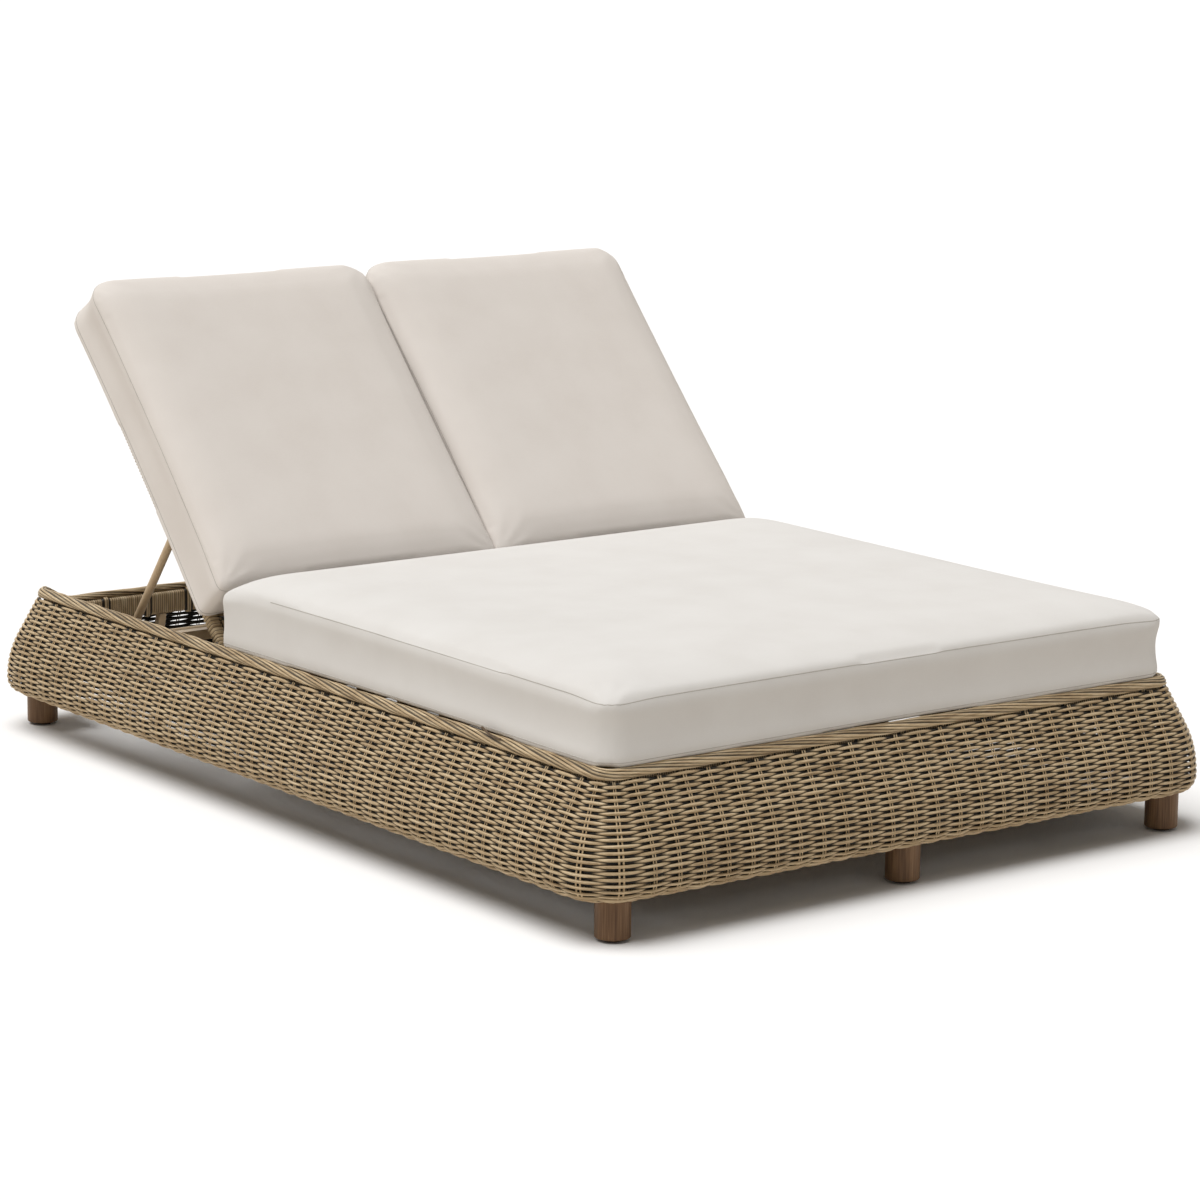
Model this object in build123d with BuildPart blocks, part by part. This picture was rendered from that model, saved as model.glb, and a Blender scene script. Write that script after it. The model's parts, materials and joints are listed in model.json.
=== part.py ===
from build123d import *
import math
import os

os.makedirs("parts", exist_ok=True)

# Frame: +X to the right seen from the foot end, +Y from the foot end to the head end, +Z up,
# origin on the floor under the middle. All lengths are in millimetres.

# Overall outline, at the widest line of the woven skirt
overall_length = 2000
overall_width = 1420
rim_height = 280
rim_corner_radius = 32
head_drop = 30

# Clearances and shared small sizes
rest_gap = 0.3
running_gap = 0.05
side_gap = 1
overrun = 20
tube_wall = 1.5
wrapped_wall = 5

# Woven skirt: a straight lean, a belly and a tuck under
skirt_flare = 69
skirt_wall = 10
skirt_top_outset = 8
knee_outset = 47
knee_height = 190
tuck_radius = 33

# Grooves between the rows of strand that stand out on the skirt
row_pitch = 10.9
groove_radius = 2.3

# Plaited rim
braid_width = 25
braid_height = 18
braid_top_round = 8.5
braid_outset = 6.5

# Strand-wrapped rails of the base
upper_rail_width = 15
upper_rail_height = 40
upper_rail_outset = -4.5
lower_rail_width = 20
lower_rail_height = 25

# Leaning posts between the rails
post_depth = 14
post_width = 16
side_post_pitch = 420
side_post_count = 5
end_post_pitch = 700
end_post_count = 2

# Legs, their plates, bolts and glides
leg_radius = 30
leg_edge_round = 3
leg_side_inset = 85
leg_end_inset = 63
glide_radius = 16
glide_height = 5
plate_thickness = 4
plate_span = 100
bolt_radius = 4
bolt_depth = 40
bolt_head_radius = 6.5
bolt_head_height = 8

# Seat deck
slat_width = 60
slat_thickness = 12
slat_count = 9
deck_beam_width = 20
deck_beam_height = 20
rear_beam_depth = 25
rear_beam_height = 40
rear_beam_back = 250

# Beam across the head bay on which the flat backrests rest
rest_beam_size = 20
rest_beam_front = 480

# Backrests
tilt = 47.5
hinge_y = 296
hinge_z = 270
back_rail_size = 25
back_rail_round = 4
back_side_margin = 8
back_outer_gap = 9.5
back_head_gap = 5
back_bottom_rail_start = 22
panel_thickness = 10

# Hinge ears and pins
ear_thickness = 5
ear_radius = 11
ear_arm_height = 15
ear_arm_drop = 11
hinge_pin_radius = 5
pin_head_thickness = 3
pin_head_extra = 3

# Prop stands and their racks
prop_radius = 8
prop_wall = 1.5
prop_bend_radius = 30
prop_pivot_distance = 271.3
prop_pivot_drop = 7
prop_lean = 52.9
prop_bar_height = 212
prop_pin_radius = 4
prop_pin_grip = 13
prop_eye_radius = 9
rack_thickness = 6
rack_height = 28
rack_bar_lift = 4
rack_inset = 40
notch_depth = 5
notch_clearance = 0.5
notch_count = 4
stop_wall = 7
stop_ledge = 5
hanger_length = 20

# Seat cushion
seat_cushion_side_margin = 4
seat_cushion_height = 110.7
seat_cushion_foot_margin = 2
seat_cushion_rear = 240
seat_crown = 22
seat_foot_corner_radius = 50
seat_rear_corner_radius = 14

# Back cushions
back_cushion_height = 100
back_cushion_length = 715
back_cushion_start = 50
back_cushion_overhang = 19
back_cushion_margin = 6
back_crown = 18
back_lower_corner_radius = 16
back_top_corner_radius = 55

# Both kinds of cushion
seat_base_round = 4
back_base_round = 7
cushion_seam_round = 5
cushion_draw_in = 5
cushion_least_corner = 9

# Sizes worked out from the ones above
rim_half_width = overall_width / 2 - skirt_flare
rim_half_length = overall_length / 2 - skirt_flare
braid_base = rim_height - braid_height
skirt_lean = math.degrees(math.atan2(knee_outset - skirt_top_outset, braid_base - knee_height))
belly_radius = (skirt_flare - knee_outset) / (1 - math.cos(math.radians(skirt_lean)))
belly_height = knee_height - belly_radius * math.sin(math.radians(skirt_lean))
skirt_bottom = belly_height - tuck_radius
skirt_edge_outset = skirt_flare - tuck_radius
upper_rail_bottom = braid_base - upper_rail_height
upper_rail_inner = upper_rail_outset - upper_rail_width
lower_rail_top = skirt_bottom + lower_rail_height
lower_rail_inner = skirt_edge_outset - lower_rail_width
bay_half_width = rim_half_width + upper_rail_inner
bay_half_length = rim_half_length + upper_rail_inner
lean_run = math.tan(math.radians(skirt_lean))
head_shift = head_drop * lean_run
head_rail_face = bay_half_length + head_shift

sides = {
    "right": (Vector(1, 0, 0), rim_half_width, rim_half_length),
    "head": (Vector(0, 1, 0), rim_half_length, rim_half_width),
    "left": (Vector(-1, 0, 0), rim_half_width, rim_half_length),
    "foot": (Vector(0, -1, 0), rim_half_length, rim_half_width),
}
hands = {"left": -1, "right": 1}

# How far each side's rim is below the others, and how far out that puts it on the leaning wall
rim_drops = {side: head_drop if side == "head" else 0 for side in sides}
rim_shifts = {side: head_shift if side == "head" else 0 for side in sides}


def save(piece, name):
    piece.part.label = name
    export_step(piece.part, f"parts/{name}.step")


# Base rings: rim, skirt and rails, one piece for each side of the lounger


def side_plane(side, height=0):
    """Level plane on a side's rim line: local x points outward, local y runs along the side."""
    outward, distance, half_run = sides[side]
    return Plane(origin=outward * distance + Vector(0, 0, height), x_dir=outward, z_dir=(0, 0, 1))


def rim_path(side):
    """The rim line of one side, from the middle of one corner to the middle of the next."""
    outward, distance, half_run = sides[side]
    straight = half_run - rim_corner_radius
    with BuildLine(side_plane(side)) as path:
        CenterArc((-rim_corner_radius, straight), rim_corner_radius, 45, -45)
        Line((0, straight), (0, -straight))
        CenterArc((-rim_corner_radius, -straight), rim_corner_radius, 0, -45)
    return path.wire()


def section_plane(side):
    """Upright plane at the start of a side's rim line: local x outward, local y up."""
    outward, distance, half_run = sides[side]
    along = Vector(0, 0, 1).cross(outward)
    diagonal = (outward + along).normalized()
    travel = (outward - along).normalized()
    centre = outward * (distance - rim_corner_radius) + along * (half_run - rim_corner_radius)
    return Plane(origin=centre + diagonal * rim_corner_radius, x_dir=diagonal, z_dir=travel)


def ring_tube(side, inner, outer, bottom, top, wall):
    """One side of a rectangular tube that follows the rim line."""
    middle = ((inner + outer) / 2, (bottom + top) / 2)
    with BuildPart() as tube:
        with BuildSketch(section_plane(side)):
            with Locations(middle):
                Rectangle(outer - inner, top - bottom)
                Rectangle(outer - inner - 2 * wall, top - bottom - 2 * wall, mode=Mode.SUBTRACT)
        sweep(path=rim_path(side))
    return tube


for side in sides:
    side_braid_base = braid_base - rim_drops[side]
    shift = rim_shifts[side]
    with BuildPart() as skirt:
        with BuildSketch(section_plane(side)):
            with BuildLine():
                shoulder = Line(
                    (skirt_top_outset - overrun * lean_run, braid_base + overrun),
                    (knee_outset, knee_height),
                )
                belly = JernArc(shoulder @ 1, shoulder % 1, belly_radius, -skirt_lean)
                tuck = JernArc(belly @ 1, belly % 1, tuck_radius, -90)
                wall = Wire([shoulder.edge(), belly.edge(), tuck.edge()])
                offset(amount=skirt_wall, side=Side.RIGHT)
            make_face()
            groove_count = int((wall.length - overrun / math.cos(math.radians(skirt_lean))) / row_pitch)
            rises = [row_pitch * number for number in range(1, groove_count + 1)]
            with Locations(*[wall @ (1 - rise / wall.length) for rise in rises]):
                Circle(groove_radius, mode=Mode.SUBTRACT)
        sweep(path=rim_path(side))
        split(bisect_by=Plane.XY.offset(side_braid_base), keep=Keep.BOTTOM)
    save(skirt, f"skirt_{side}")

    with BuildPart() as rim:
        with BuildSketch(section_plane(side)):
            with Locations(
                (braid_outset + shift - braid_width / 2, side_braid_base + braid_height / 2)
            ):
                band = Rectangle(braid_width, braid_height)
            fillet(band.vertices().group_by(Axis.Z)[-1], braid_top_round)
        sweep(path=rim_path(side))
    save(rim, f"rim_braid_{side}")

    upper = ring_tube(
        side,
        upper_rail_inner + shift,
        upper_rail_outset + shift,
        side_braid_base - upper_rail_height,
        side_braid_base,
        wrapped_wall,
    )
    save(upper, f"upper_rail_{side}")
    lower = ring_tube(
        side, lower_rail_inner, skirt_edge_outset, skirt_bottom, lower_rail_top, wrapped_wall
    )
    save(lower, f"lower_rail_{side}")

# Leaning posts that carry the upper rail on the lower one
with BuildPart() as posts:
    for side in sides:
        count, pitch = (side_post_count, side_post_pitch)
        if side in ("head", "foot"):
            count, pitch = (end_post_count, end_post_pitch)
        foot_outset = (lower_rail_inner + skirt_edge_outset) / 2
        top_outset = upper_rail_outset + rim_shifts[side] - upper_rail_width / 2
        for number in range(count):
            along = (number - (count - 1) / 2) * pitch
            with BuildSketch(side_plane(side, lower_rail_top)):
                with Locations((foot_outset, along)):
                    Rectangle(post_depth, post_width)
            with BuildSketch(side_plane(side, upper_rail_bottom - rim_drops[side])):
                with Locations((top_outset, along)):
                    Rectangle(post_depth, post_width)
            loft()
save(posts, "frame_posts")

# Legs with their plates, bolts and glides

leg_x = overall_width / 2 - leg_side_inset
leg_y = overall_length / 2 - leg_end_inset
leg_places = {
    "leg_foot_left": (-leg_x, -leg_y),
    "leg_foot_middle": (0, -leg_y),
    "leg_foot_right": (leg_x, -leg_y),
    "leg_head_left": (-leg_x, leg_y),
    "leg_head_middle": (0, leg_y),
    "leg_head_right": (leg_x, leg_y),
}

for name, place in leg_places.items():
    with BuildPart() as leg:
        with BuildSketch(Plane.XY.offset(glide_height)):
            with Locations(place):
                Circle(leg_radius)
        extrude(amount=skirt_bottom - glide_height)
        fillet(leg.edges().group_by(Axis.Z)[0], leg_edge_round)
        with BuildSketch(Plane.XY.offset(skirt_bottom)):
            with Locations(place):
                Circle(bolt_radius + running_gap)
        extrude(amount=-bolt_depth - running_gap, mode=Mode.SUBTRACT)
    save(leg, name)

with BuildPart() as glides:
    with BuildSketch():
        with Locations(*leg_places.values()):
            Circle(glide_radius)
    extrude(amount=glide_height)
save(glides, "leg_glides")

# Each plate fills the lower rail's corner, or lies against its inner face at the middle of an end
plate_side = rim_half_width + lower_rail_inner
plate_end = rim_half_length + lower_rail_inner
plate_corner_radius = rim_corner_radius + lower_rail_inner
plate_centre_y = plate_end - plate_span / 2

with BuildPart() as plates:
    for x_sign in (-1, 0, 1):
        for y_sign in (-1, 1):
            centre = (x_sign * (plate_side - plate_span / 2), y_sign * plate_centre_y)
            with BuildSketch(Plane.XY.offset(skirt_bottom)) as outline:
                with Locations(centre):
                    Rectangle(plate_span, plate_span)
                if x_sign:
                    corner = outline.vertices().sort_by(
                        lambda v: v.X * x_sign + v.Y * y_sign
                    )[-1]
                    fillet(corner, plate_corner_radius)
                with Locations((x_sign * leg_x, y_sign * leg_y)):
                    Circle(bolt_radius + running_gap, mode=Mode.SUBTRACT)
            extrude(amount=plate_thickness)
save(plates, "leg_plates")

with BuildPart() as bolts:
    for place in leg_places.values():
        with BuildSketch(Plane.XY.offset(skirt_bottom - bolt_depth)):
            with Locations(place):
                Circle(bolt_radius)
        extrude(amount=bolt_depth + plate_thickness)
        with BuildSketch(Plane.XY.offset(skirt_bottom + plate_thickness)):
            with Locations(place):
                Circle(bolt_head_radius)
        extrude(amount=bolt_head_height)
save(bolts, "leg_bolts")

# Seat deck: two side beams, a centre beam and a rear beam under nine cross slats

deck_top = rim_height
slat_bottom = deck_top - slat_thickness
beam_bottom = slat_bottom - deck_beam_height
deck_front = -bay_half_length
side_beam_front = deck_front + rim_corner_radius
rear_beam_front = rear_beam_back - rear_beam_depth
braid_inner_half = rim_half_width + braid_outset - braid_width


def tube_along_y(x_low, x_high, y_low, y_high, z_low, z_high, wall):
    """A rectangular tube along Y between two planes."""
    with BuildPart() as tube:
        with BuildSketch(Plane.XZ.offset(-y_low)):
            with Locations(((x_low + x_high) / 2, (z_low + z_high) / 2)):
                Rectangle(x_high - x_low, z_high - z_low)
                Rectangle(x_high - x_low - 2 * wall, z_high - z_low - 2 * wall, mode=Mode.SUBTRACT)
        extrude(amount=-(y_high - y_low))
    return tube


def tube_along_x(half_length, y_low, y_high, z_low, z_high, wall):
    """A rectangular tube along X, with its middle at X = 0."""
    with BuildPart() as tube:
        with BuildSketch(Plane.YZ):
            with Locations(((y_low + y_high) / 2, (z_low + z_high) / 2)):
                Rectangle(y_high - y_low, z_high - z_low)
                Rectangle(y_high - y_low - 2 * wall, z_high - z_low - 2 * wall, mode=Mode.SUBTRACT)
        extrude(amount=half_length, both=True)
    return tube


beam_places = {
    "seat_beam_left": (-bay_half_width + deck_beam_width / 2, side_beam_front),
    "seat_beam_centre": (0, deck_front),
    "seat_beam_right": (bay_half_width - deck_beam_width / 2, side_beam_front),
}
for name, (x_middle, y_front) in beam_places.items():
    beam = tube_along_y(
        x_middle - deck_beam_width / 2,
        x_middle + deck_beam_width / 2,
        y_front,
        rear_beam_front,
        beam_bottom,
        slat_bottom,
        tube_wall,
    )
    save(beam, name)

rear_beam = tube_along_x(
    bay_half_width, rear_beam_front, rear_beam_back, deck_top - rear_beam_height, deck_top, tube_wall
)
with BuildPart() as rear_seat_beam:
    add(rear_beam.part)
    with BuildSketch(Plane.XY.offset(deck_top)):
        for hand in hands.values():
            with Locations((hand * rim_half_width, rear_beam_back)):
                Rectangle(2 * (rim_half_width - braid_inner_half), 4 * rear_beam_depth)
    extrude(amount=-(deck_top - braid_base), mode=Mode.SUBTRACT)
save(rear_seat_beam, "rear_seat_beam")

slat_half = braid_inner_half - side_gap
slat_run = rear_beam_front - deck_front
slat_pitch = slat_run / slat_count
with BuildPart() as slats:
    for number in range(slat_count):
        middle = deck_front + slat_pitch / 2 + number * slat_pitch
        with BuildSketch(Plane.YZ.offset(-slat_half)):
            with Locations((middle, deck_top - slat_thickness / 2)):
                Rectangle(slat_width, slat_thickness)
                Rectangle(
                    slat_width - 2 * tube_wall, slat_thickness - 2 * tube_wall, mode=Mode.SUBTRACT
                )
        extrude(amount=2 * slat_half)
save(slats, "seat_slats")

rest_beam_top = hinge_z - back_rail_size / 2 - rest_gap
rest_beam_bottom = rest_beam_top - rest_beam_size
rest_beam = tube_along_x(
    bay_half_width,
    rest_beam_front,
    rest_beam_front + rest_beam_size,
    rest_beam_bottom,
    rest_beam_top,
    tube_wall,
)
save(rest_beam, "back_rest_beam")

# Backrests

tilt_cos = math.cos(math.radians(tilt))
tilt_sin = math.sin(math.radians(tilt))
back_x_inner = back_side_margin
back_x_outer = bay_half_width - back_outer_gap
back_length = bay_half_length - back_head_gap - hinge_y


def lean_plane(x=0, along=0, normal=0):
    """Upright plane across X: local x runs up the backrest, local y out of its front."""
    return Plane(
        origin=(
            x,
            hinge_y + along * tilt_cos - normal * tilt_sin,
            hinge_z + along * tilt_sin + normal * tilt_cos,
        ),
        x_dir=(0, tilt_cos, tilt_sin),
        z_dir=(1, 0, 0),
    )


def face_plane(normal=0):
    """Plane parallel to the backrest: local x runs along X, local y up the backrest."""
    return Plane(
        origin=(0, hinge_y - normal * tilt_sin, hinge_z + normal * tilt_cos),
        x_dir=(1, 0, 0),
        z_dir=(0, -tilt_sin, tilt_cos),
    )


def back_side_rail(x_low):
    """A strand-wrapped tube with a round hinge end and the holes for its two pins."""
    with BuildPart() as rail:
        with BuildSketch(lean_plane(x_low)):
            with Locations((back_length / 2, 0)):
                Rectangle(back_length, back_rail_size)
            Circle(back_rail_size / 2)
            Circle(hinge_pin_radius + running_gap, mode=Mode.SUBTRACT)
        extrude(amount=back_rail_size)
        long_edges = rail.edges().filter_by(Axis((0, 0, 0), (0, tilt_cos, tilt_sin)))
        fillet(long_edges, back_rail_round)
    return rail


def back_cross_rail(x_low, x_high, start):
    """A strand-wrapped tube along X between the two side rails."""
    with BuildPart() as rail:
        with BuildSketch(lean_plane(x_low, start + back_rail_size / 2)):
            Rectangle(back_rail_size, back_rail_size)
            Rectangle(
                back_rail_size - 2 * wrapped_wall,
                back_rail_size - 2 * wrapped_wall,
                mode=Mode.SUBTRACT,
            )
        extrude(amount=x_high - x_low)
    return rail


prop_pivot = lean_plane(0, prop_pivot_distance, -prop_pivot_drop).origin
prop_cos = math.cos(math.radians(prop_lean))
prop_sin = math.sin(math.radians(prop_lean))
prop_length = (prop_pivot.Z - prop_bar_height) / prop_sin
prop_bar_y = prop_pivot.Y + prop_length * prop_cos


def pin(x_from, x_to, radius, plane):
    """A round pin along X whose head is beyond x_from."""
    direction = math.copysign(1, x_to - x_from)
    with BuildPart() as shank:
        with BuildSketch(plane(x_from)):
            Circle(radius)
        extrude(amount=x_to - x_from)
        with BuildSketch(plane(x_from)):
            Circle(radius + pin_head_extra)
        extrude(amount=-direction * pin_head_thickness)
    return shank.part


def hinge_plane(x):
    return Plane(origin=(x, hinge_y, hinge_z), x_dir=(0, 1, 0), z_dir=(1, 0, 0))


def prop_plane(x):
    return Plane(origin=(x, prop_pivot.Y, prop_pivot.Z), x_dir=(0, 1, 0), z_dir=(1, 0, 0))


back_x_rail_inner = back_x_inner + back_rail_size
back_x_rail_outer = back_x_outer - back_rail_size
prop_x_inner = back_x_rail_inner + side_gap + prop_radius
prop_x_outer = back_x_rail_outer - side_gap - prop_radius

for hand_name, hand in hands.items():
    # Side rails: the outer one is beside the base's rail, the inner one beside the other backrest
    rail_starts = {
        "outer": min(hand * back_x_outer, hand * back_x_rail_outer),
        "inner": min(hand * back_x_inner, hand * back_x_rail_inner),
    }
    prop_sides = {"outer": prop_x_outer, "inner": prop_x_inner}
    for place, x_low in rail_starts.items():
        side_rail = back_side_rail(x_low)
        inward = 1 if place == "inner" else -1
        rail_face = back_x_rail_inner if place == "inner" else back_x_rail_outer
        with BuildPart() as drilled:
            add(side_rail.part)
            with BuildSketch(prop_plane(hand * rail_face)):
                Circle(prop_pin_radius + running_gap)
            extrude(amount=-hand * inward * (prop_pin_grip + side_gap), mode=Mode.SUBTRACT)
        save(drilled, f"{hand_name}_back_{place}_rail")

    x_low = min(hand * back_x_rail_inner, hand * back_x_rail_outer)
    x_high = max(hand * back_x_rail_inner, hand * back_x_rail_outer)
    bottom_rail = back_cross_rail(x_low, x_high, back_bottom_rail_start)
    save(bottom_rail, f"{hand_name}_back_bottom_rail")
    top_rail = back_cross_rail(x_low, x_high, back_length - back_rail_size)
    save(top_rail, f"{hand_name}_back_top_rail")

    panel_start = back_bottom_rail_start + back_rail_size
    panel_end = back_length - back_rail_size
    with BuildPart() as panel:
        with BuildSketch(face_plane(back_rail_size / 2)):
            with Locations(((x_low + x_high) / 2, (panel_start + panel_end) / 2)):
                Rectangle(x_high - x_low, panel_end - panel_start)
        extrude(amount=-panel_thickness)
    save(panel, f"{hand_name}_back_panel")

    # Pins: each hinge pin's head bears on its ear, each prop pin's head on the stand's eye
    ear_outer = back_x_rail_outer - side_gap - ear_thickness
    ear_inner = back_x_rail_inner + side_gap + ear_thickness
    with BuildPart() as hinge_pins:
        add(pin(hand * ear_outer, hand * (back_x_outer - side_gap), hinge_pin_radius, hinge_plane))
        add(pin(hand * ear_inner, hand * (back_x_inner + side_gap), hinge_pin_radius, hinge_plane))
    save(hinge_pins, f"{hand_name}_hinge_pins")
    with BuildPart() as prop_pins:
        add(
            pin(
                hand * (prop_x_outer - prop_radius),
                hand * (back_x_rail_outer + prop_pin_grip),
                prop_pin_radius,
                prop_plane,
            )
        )
        add(
            pin(
                hand * (prop_x_inner + prop_radius),
                hand * (back_x_rail_inner - prop_pin_grip),
                prop_pin_radius,
                prop_plane,
            )
        )
    save(prop_pins, f"{hand_name}_prop_pins")

    # Prop stand: a bent tube with an eye at each end
    bar_run = (prop_x_outer - prop_x_inner) / 2 - prop_bend_radius
    bar_middle = hand * (prop_x_outer + prop_x_inner) / 2
    stand_plane = Plane(
        origin=(bar_middle, prop_bar_y, prop_bar_height),
        x_dir=(1, 0, 0),
        z_dir=(0, -prop_sin, -prop_cos),
    )
    half_bar = (prop_x_outer - prop_x_inner) / 2
    leg_run = prop_length - (prop_pin_radius + prop_eye_radius) / 2
    with BuildPart() as stand:
        with BuildLine(stand_plane) as route:
            Line((-half_bar, leg_run), (-half_bar, prop_bend_radius))
            near_bend = CenterArc((-bar_run, prop_bend_radius), prop_bend_radius, 180, 90)
            Line(near_bend @ 1, (bar_run, 0))
            far_bend = CenterArc((bar_run, prop_bend_radius), prop_bend_radius, 270, 90)
            Line(far_bend @ 1, (half_bar, leg_run))
        start = stand_plane.from_local_coords(Vector(-half_bar, leg_run, 0))
        with BuildSketch(Plane(origin=start, x_dir=(1, 0, 0), z_dir=-stand_plane.y_dir)):
            Circle(prop_radius)
            Circle(prop_radius - prop_wall, mode=Mode.SUBTRACT)
        sweep(path=route.wire())
        for x_eye in (prop_x_outer, prop_x_inner):
            with BuildSketch(prop_plane(hand * x_eye)):
                Circle(prop_eye_radius)
            extrude(amount=prop_radius, both=True)
        for x_eye in (prop_x_outer, prop_x_inner):
            with BuildSketch(prop_plane(hand * x_eye)):
                Circle(prop_pin_radius + running_gap)
            extrude(amount=prop_radius + prop_wall, both=True, mode=Mode.SUBTRACT)
    save(stand, f"{hand_name}_prop_stand")

# Hinge ears on the rear seat beam, one inside each side rail
with BuildPart() as ears:
    for hand in hands.values():
        for x_ear in (ear_outer, ear_inner - ear_thickness):
            with BuildSketch(hinge_plane(hand * (x_ear + ear_thickness / 2))):
                with Locations(
                    ((rear_beam_back - hinge_y) / 2, ear_arm_height / 2 - ear_arm_drop)
                ):
                    Rectangle(hinge_y - rear_beam_back, ear_arm_height)
                Circle(ear_radius)
                Circle(hinge_pin_radius + running_gap, mode=Mode.SUBTRACT)
            extrude(amount=ear_thickness / 2, both=True)
save(ears, "hinge_ears")

# Notched racks for the stands' bars, between the rest beam and the head rail's inner face


def bar_y_at(angle):
    """Where the stand's bar lies along Y when the backrest is at this angle above flat."""
    lean = math.radians(angle)
    pivot_y = hinge_y + prop_pivot_distance * math.cos(lean) + prop_pivot_drop * math.sin(lean)
    pivot_z = hinge_z + prop_pivot_distance * math.sin(lean) - prop_pivot_drop * math.cos(lean)
    return pivot_y + math.sqrt(prop_length**2 - (pivot_z - prop_bar_height) ** 2)


rack_top = prop_bar_height - prop_radius - rack_bar_lift
rack_bottom = rack_top - rack_height
rack_end = head_rail_face
notch_radius = prop_radius + notch_clearance
notch_height = rack_top + notch_radius - notch_depth
notch_angles = [tilt * number / notch_count for number in range(1, notch_count)]
rack_places = {
    "left_prop_rack_outer": -prop_x_outer + rack_inset,
    "left_prop_rack_inner": -prop_x_inner - rack_inset,
    "right_prop_rack_inner": prop_x_inner + rack_inset,
    "right_prop_rack_outer": prop_x_outer - rack_inset,
}

for name, x_middle in rack_places.items():
    with BuildPart() as rack:
        with BuildSketch(Plane.YZ.offset(x_middle)):
            with Locations(((rest_beam_front + rack_end) / 2, (rack_bottom + rack_top) / 2)):
                Rectangle(rack_end - rest_beam_front, rack_height)
            with Locations(*[(bar_y_at(angle), notch_height) for angle in notch_angles]):
                Circle(notch_radius, mode=Mode.SUBTRACT)
        extrude(amount=rack_thickness / 2, both=True)
    save(rack, name)

# Hangers that hold the front ends of the racks under the rest beam
with BuildPart() as hangers:
    for x_middle in rack_places.values():
        with BuildSketch(Plane.YZ.offset(x_middle)):
            with Locations(
                (rest_beam_front + hanger_length / 2, (rack_top + rest_beam_bottom) / 2)
            ):
                Rectangle(hanger_length, rest_beam_bottom - rack_top)
        extrude(amount=rack_thickness / 2, both=True)
save(hangers, "rack_hangers")

# Stops that hold the bar at the top notch
with BuildPart() as stops:
    for x_middle in rack_places.values():
        with BuildSketch(Plane.YZ.offset(x_middle)):
            with BuildLine():
                Polyline(
                    (prop_bar_y - prop_radius - stop_wall, rack_top),
                    (prop_bar_y - prop_radius - stop_wall, prop_bar_height),
                    (prop_bar_y, prop_bar_height),
                    (prop_bar_y, rack_top + rack_bar_lift - rest_gap),
                    (prop_bar_y + stop_ledge, rack_top),
                    close=True,
                )
            make_face()
            with Locations((prop_bar_y, prop_bar_height)):
                Circle(prop_radius + rest_gap, mode=Mode.SUBTRACT)
        extrude(amount=rack_thickness / 2, both=True)
save(stops, "rack_stops")

# Cushions: boxed, drawn in along their sides and crowned on the face

crown_inset_shares = [0.1, 0.22, 0.36]
crown_height_shares = [0.5, 0.82, 1.0]


def cushion_outline(plane, half_width, half_length, low_corner, high_corner):
    """A rectangle with round corners, the low ones at -Y, and sides drawn in to the middle."""
    low_x, low_y = (half_width - low_corner, low_corner - half_length)
    high_x, high_y = (half_width - high_corner, half_length - high_corner)
    with BuildSketch(plane) as outline:
        with BuildLine():
            ThreePointArc(
                (high_x, half_length), (0, half_length - cushion_draw_in), (-high_x, half_length)
            )
            CenterArc((-high_x, high_y), high_corner, 90, 90)
            ThreePointArc(
                (-half_width, high_y), (cushion_draw_in - half_width, 0), (-half_width, low_y)
            )
            CenterArc((-low_x, low_y), low_corner, 180, 90)
            ThreePointArc(
                (-low_x, -half_length), (0, cushion_draw_in - half_length), (low_x, -half_length)
            )
            CenterArc((low_x, low_y), low_corner, 270, 90)
            ThreePointArc(
                (half_width, low_y), (half_width - cushion_draw_in, 0), (half_width, high_y)
            )
            CenterArc((high_x, high_y), high_corner, 0, 90)
        make_face()
    return outline.sketch


def cushion(base, width, length, height, crown, corners, base_round):
    """A cushion that stands on the base plane, centred on the plane's origin."""
    half_short = min(width, length) / 2
    levels = [
        (0, base_round),
        (base_round, 0),
        (height - cushion_seam_round, 0),
        (height, cushion_seam_round),
    ]
    for inset_share, height_share in zip(crown_inset_shares, crown_height_shares):
        inset = cushion_seam_round + inset_share * half_short
        levels.append((height + height_share * crown, inset))
    outlines = []
    for level, inset in levels:
        low_corner, high_corner = [max(corner - inset, cushion_least_corner) for corner in corners]
        outlines.append(
            cushion_outline(
                base.offset(level), width / 2 - inset, length / 2 - inset, low_corner, high_corner
            )
        )
    with BuildPart() as body:
        loft(sections=outlines, ruled=True)
    return body


seat_cushion_width = 2 * (rim_half_width - seat_cushion_side_margin)
seat_cushion_front = -rim_half_length + seat_cushion_foot_margin
seat_cushion_length = seat_cushion_rear - seat_cushion_front
seat_base = Plane(
    origin=(0, (seat_cushion_front + seat_cushion_rear) / 2, deck_top + rest_gap),
    x_dir=(1, 0, 0),
    z_dir=(0, 0, 1),
)
seat_cushion = cushion(
    seat_base,
    seat_cushion_width,
    seat_cushion_length,
    seat_cushion_height,
    seat_crown,
    (seat_foot_corner_radius, seat_rear_corner_radius),
    seat_base_round,
)
save(seat_cushion, "seat_cushion")

back_cushion_outer = back_x_outer + back_cushion_overhang
back_cushion_width = back_cushion_outer - back_cushion_margin
for hand_name, hand in hands.items():
    middle_x = hand * (back_cushion_outer + back_cushion_margin) / 2
    middle_along = back_cushion_start + back_cushion_length / 2
    front = face_plane(back_rail_size / 2 + rest_gap)
    back_base = Plane(
        origin=front.from_local_coords(Vector(middle_x, middle_along, 0)),
        x_dir=front.x_dir,
        z_dir=front.z_dir,
    )
    back_cushion = cushion(
        back_base,
        back_cushion_width,
        back_cushion_length,
        back_cushion_height,
        back_crown,
        (back_lower_corner_radius, back_top_corner_radius),
        back_base_round,
    )
    save(back_cushion, f"{hand_name}_back_cushion")
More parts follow.
